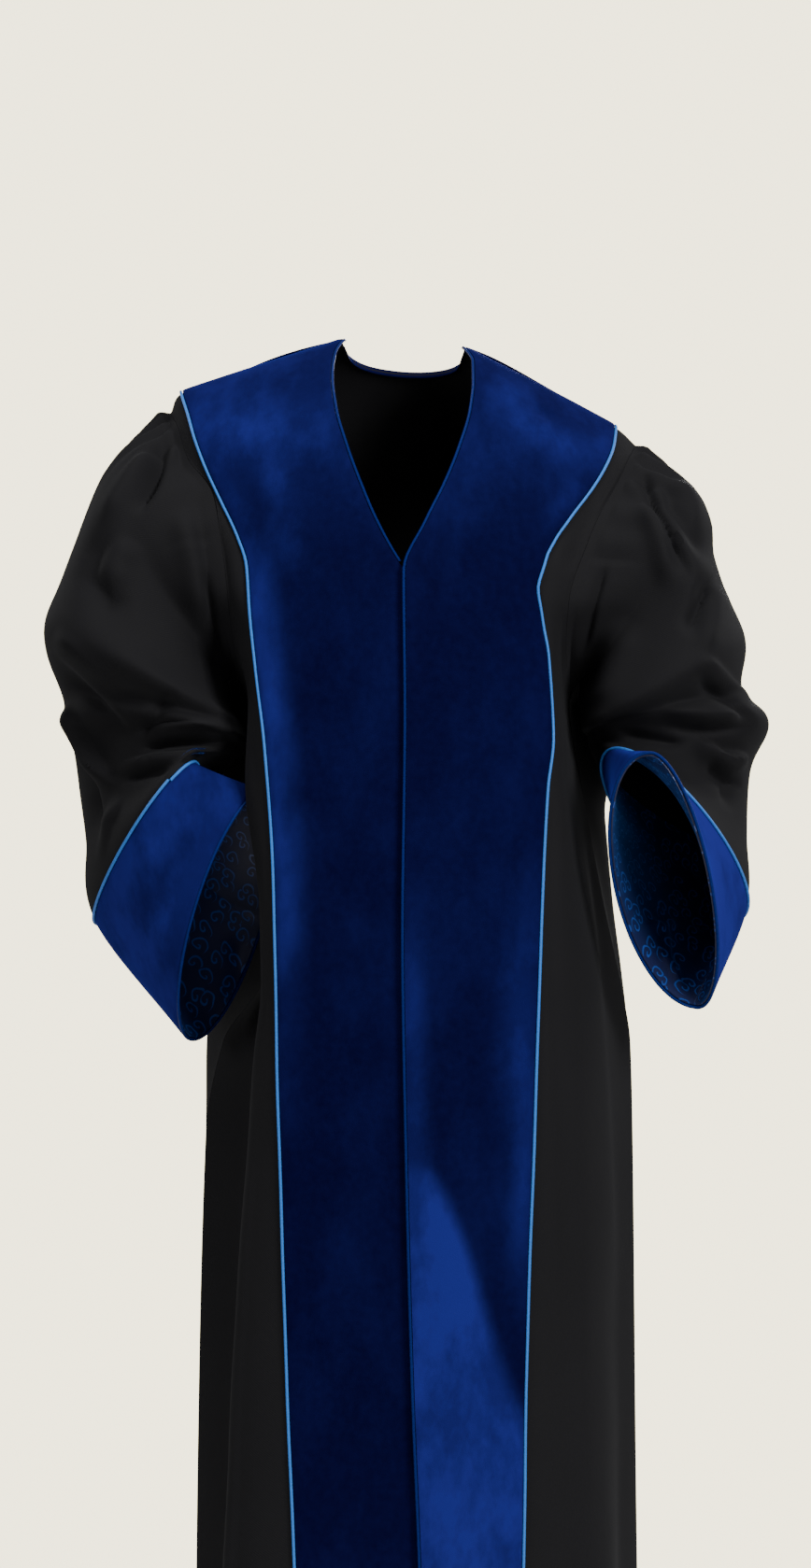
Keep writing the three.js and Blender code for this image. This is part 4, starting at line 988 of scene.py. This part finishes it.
def sleeve_grid(side, rows):
    """Points and normals of the sleeve for rows of its length s and columns round it."""
    sign = -1 if side == "right" else 1
    k = np.arange(SLEEVE_COLUMNS) * AROUND / SLEEVE_COLUMNS
    is_front = k <= AROUND / 2
    drop = armhole_drop(k)
    front_edge = front_form(side, np.ones_like(k), drop)
    back_edge = back_form(sign * np.ones_like(k), drop)
    edge = np.where(is_front[:, None], front_edge, back_edge)
    normals, aways = (unit(round_armhole(values, k)) for values in seam_frames(side))
    angle = 2 * math.pi * k / AROUND
    columns = [edge + aways * EDGE_GAP, edge + aways * HEAD_TUCK + normals * TUCK_RISE]
    hubs = []
    for outer, inner, before, behind in sleeve_rings[side]:
        outer, inner = np.array(outer, float), np.array(inner, float)
        reach = np.sin(angle)[:, None]
        stand = np.where(reach > 0, np.array(before, float), np.array(behind, float))
        middle = (outer + inner) / 2
        columns.append(middle + (outer - inner) / 2 * np.cos(angle)[:, None] + stand * np.abs(reach))
        hubs.append(middle)
    s = np.asarray(rows, float)[:, None] * np.ones(SLEEVE_COLUMNS)
    p = spline(SLEEVE_STATIONS, [column[None] for column in columns], s)
    hub = np.stack([through(SLEEVE_STATIONS[2:], [h[i] for h in hubs], s) for i in range(3)], axis=-1)
    out = unit(p - hub)
    lift = np.zeros(s.shape)
    around = np.where(k > AROUND / 2, k - AROUND, k)[None]
    for place, wide, proud, ends in gathers[side]:
        runs = ramp(s, 0.02, 0.5) * (1 - ramp(s, 1.0, ends))
        lift = lift + proud * np.exp(-((around - place) / wide) ** 2) * runs
    lift = lift - 2.4 * (np.abs(around) < 5.2) * ramp(s, 0.02, 0.5) * (1 - ramp(s, 0.8, 2.6))
    for place, column, ds, dk, proud in sleeve_folds[side]:
        apart = np.abs(k[None] - column)
        apart = np.minimum(apart, AROUND - apart) / dk
        lift = lift + proud * np.exp(-apart ** 2 - ((s - place) / ds) ** 2)
    p = p + out * (lift * (1 - ramp(s, 7.6, 8.6)))[..., None]
    faces_front = ramp(np.sin(angle), 0.0, 0.35)[None]
    faces_back = ramp(-np.sin(angle), 0.0, 0.35)[None]
    mirrored = [([(sign * x, z) for x, z in line], wide, proud, lean)
                for line, wide, proud, lean in sleeve_back_creases]
    small = (crease_lift(p[..., 0], p[..., 2], sleeve_creases[side]) * faces_front
             + crease_lift(p[..., 0], p[..., 2], mirrored) * faces_back + slack(p, 1.1, 60))
    small = small * ramp(s, 0.1, 1.0) * (1 - ramp(s, 8.2, 8.9))
    p = p + unit(p - hub) * small[..., None]
    surface = normals_of(p, 1, closed=True)
    if (surface * (p - hub)).sum() < 0:
        surface = -surface
    return p, surface


CUFF_GAP = 0.8
sleeve_rows = np.concatenate([np.linspace(0, 0.5, 12)[:-1], np.linspace(0.5, 9, 150)])
cuff_rows = np.linspace(9, 10, 44)
for side in ("right", "left"):
    points, normals = sleeve_grid(side, sleeve_rows)
    points[-1] += unit(points[-2] - points[-1]) * CUFF_GAP
    sleeve = shell(f"sleeve_{side}", points, normals, -CLOTH / 2, CLOTH / 2, closed=True)
    fasten(sleeve, black_twill, "cloth", f"sleeve_{side}")


# ---- Velvet cuffs ------------------------------------------------------------------------------
# Deep bell cuffs of the same velvet, set on below the elbow with piping in the seam. They are coloured
# lighter than the bands as painted light, the left cuff, which faces the key light, more so.
# Painted light: how much lighter each cuff is coloured, more on the left one, which faces the key light. The
# patches add lighter and darker spots: middle, half length and half width, tilt in degrees, how light.
cuff_painted_light = {"right": 0.55, "left": 0.75}
cuff_patches = {"right": [((-232, -450), (60, 22), 60, 0.3), ((-218, -520), (70, 26), 62, 0.45),
                          ((-170, -412), (40, 16), 40, 0.2), ((-205, -470), (60, 8), 58, -0.3)],
                "left": [((266, -470), (20, 70), 12, 0.25), ((185, -372), (40, 20), 10, -0.2),
                         ((245, -430), (50, 10), -58, -0.3)]}
cuff_grids = {}
for side in ("right", "left"):
    points, normals = sleeve_grid(side, cuff_rows)
    points[0] += unit(points[1] - points[0]) * CUFF_GAP
    cuff_grids[side] = points, normals
    # The cuff is coloured lighter all over as painted light, with its patches added.
    pile_and_painted_light = cuff_painted_light[side] + sum(light * blob(points[..., 0], points[..., 2], middle, size, tilt)
                               for middle, size, tilt, light in cuff_patches[side])
    cuff = shell(f"cuff_{side}", points, normals, -CLOTH / 2, VELVET - CLOTH / 2, closed=True,
                 edges=edge_roll(points, 3, closed=True), marks=[("pile_and_painted_light", np.clip(pile_and_painted_light, 0, 1))])
    fasten(cuff, blue_velvet, "velvet", f"cuff_{side}")


# ---- Piping and cord of the cuffs --------------------------------------------------------------
# Pale satin piping is caught in the seam at each cuff's top, half sunk between velvet and twill. A
# cord in the darker satin binds the mouth.
for side in ("right", "left"):
    line, out = cuff_grids[side][0][0], cuff_grids[side][1][0]
    away = unit(line - cuff_grids[side][0][1])
    centres = line + out * (CLOTH / 2 + PIPING_R) + away * CUFF_GAP
    piping = tube(f"piping_cuff_{side}", centres, out, away, PIPING_R, closed=True)
    fasten(piping, pale_satin, "piping", f"piping_cuff_{side}")
    mouth, out = cuff_grids[side][0][-1], cuff_grids[side][1][-1]
    away = unit(mouth - cuff_grids[side][0][-2])
    cord = tube(f"cord_cuff_{side}", mouth + away * CORD_R, out, away, CORD_R, closed=True)
    fasten(cord, deep_satin, "cord", f"cord_cuff_{side}")


# ---- Sleeve linings ----------------------------------------------------------------------------
# Dark blue brocade with small scrolls lines the lower sleeves and shows inside the bell cuffs. It is
# caught in the seam at the mouth and hangs a little loose above it.
LINING = 1.2


def brocade_material():
    """Dark ground with paler scrolls, each a small spiral round its own middle."""
    material = bpy.data.materials.new("blue_brocade")
    tree, output = shader_tree(material, "ShaderNodeOutputMaterial")

    def maths(operation, *values, **settings):
        inputs = list(enumerate(values))
        return node(tree, "ShaderNodeMath", inputs, operation=operation, **settings).outputs[0]

    cut = node(tree, "ShaderNodeAttribute", attribute_name="cut").outputs["Vector"]
    sway = node(tree, "ShaderNodeTexNoise", [("Vector", cut), ("Scale", 60.0),
                                             ("Detail", 1.0)]).outputs["Color"]
    moved = node(tree, "ShaderNodeVectorMath", [(0, sway), (1, (0.008, 0.008, 0.0)), (2, cut)],
                 operation="MULTIPLY_ADD").outputs[0]
    cells = node(tree, "ShaderNodeTexVoronoi", [("Vector", moved), ("Scale", 68.0), ("Randomness", 0.75)],
                 voronoi_dimensions="2D")
    middle = cells.outputs["Position"]
    scaled = node(tree, "ShaderNodeVectorMath", [(0, moved)], operation="SUBTRACT")
    tree.links.new(middle, scaled.inputs[1])
    arm = node(tree, "ShaderNodeSeparateXYZ", [(0, scaled.outputs[0])])
    angle = maths("DIVIDE", maths("ARCTAN2", arm.outputs[1], arm.outputs[0]), 2 * math.pi)
    winding = maths("FRACT", maths("MULTIPLY_ADD", cells.outputs["Distance"], 2.6, angle))
    line = maths("LESS_THAN", maths("ABSOLUTE", maths("SUBTRACT", winding, 0.5)), 0.13)
    inside = maths("LESS_THAN", cells.outputs["Distance"], 0.47)
    scroll = maths("MULTIPLY", line, inside)
    threads = node(tree, "ShaderNodeTexNoise", [("Vector", cut), ("Scale", 1500.0),
                                                ("Detail", 1.0)]).outputs[0]
    tone = node(tree, "ShaderNodeMix", [("Factor", scroll), ("A", (0.0026, 0.0056, 0.042, 1)),
                                        ("B", (0.013, 0.050, 0.24, 1))], data_type="RGBA")
    rough = node(tree, "ShaderNodeMapRange", [("Value", scroll), ("To Min", 0.5), ("To Max", 0.3)])
    height = maths("ADD", maths("MULTIPLY", scroll, 1.4), threads)
    bump = node(tree, "ShaderNodeBump", [("Strength", 0.5), ("Distance", 0.0003), ("Height", height)])
    brocade = node(tree, "ShaderNodeBsdfPrincipled", [
        ("Base Color", tone.outputs["Result"]), ("Roughness", rough.outputs[0]), ("Normal", bump.outputs[0]),
        ("Specular IOR Level", 0.5), ("Sheen Weight", 0.25), ("Sheen Roughness", 0.35),
        ("Sheen Tint", (0.05, 0.25, 0.9, 1))])
    tree.links.new(brocade.outputs[0], output.inputs["Surface"])
    return material


blue_brocade = brocade_material()
lining_rows = np.linspace(8, 10, 90)
lining_creases = {
    "right": [([(-187, -474), (-156, -494), (-124, -512)], 3, -2.4, 0.0),
              ([(-184, -484), (-154, -504), (-122, -522)], 3, 2.2, 0.0),
              ([(-150, -520), (-146, -560), (-158, -600)], 8, -3.0, 0.2)],
    "left": [([(205, -496), (220, -502), (236, -500)], 5, 3.6, 0.2),
             ([(206, -508), (222, -516), (238, -512)], 4, -3.4, 0.2),
             ([(226, -516), (224, -542), (240, -566)], 4, -3.0, 0.2),
             ([(214, -520), (212, -544)], 5, 2.6, 0.0)],
}
for side in ("right", "left"):
    points, normals = sleeve_grid(side, lining_rows)
    s = lining_rows[:, None] * np.ones(SLEEVE_COLUMNS)
    wrinkles = np.minimum(crease_lift(points[..., 0], points[..., 2], lining_creases[side]), 0)
    k = np.arange(SLEEVE_COLUMNS) * 2 * math.pi / SLEEVE_COLUMNS
    ripple = -1.2 * (0.5 + 0.5 * np.sin(9 * k + 3 * np.sin(2 * s))) * ramp(s, 8, 9) * (1 - ramp(s, 9.6, 10))
    points = points + normals * (wrinkles + ripple)[..., None]
    under = -CLOTH / 2 - 2 * SEAM
    lining = shell(f"sleeve_lining_{side}", points, normals, under - LINING, under, closed=True)
    fasten(lining, blue_brocade, "lining", f"sleeve_lining_{side}")
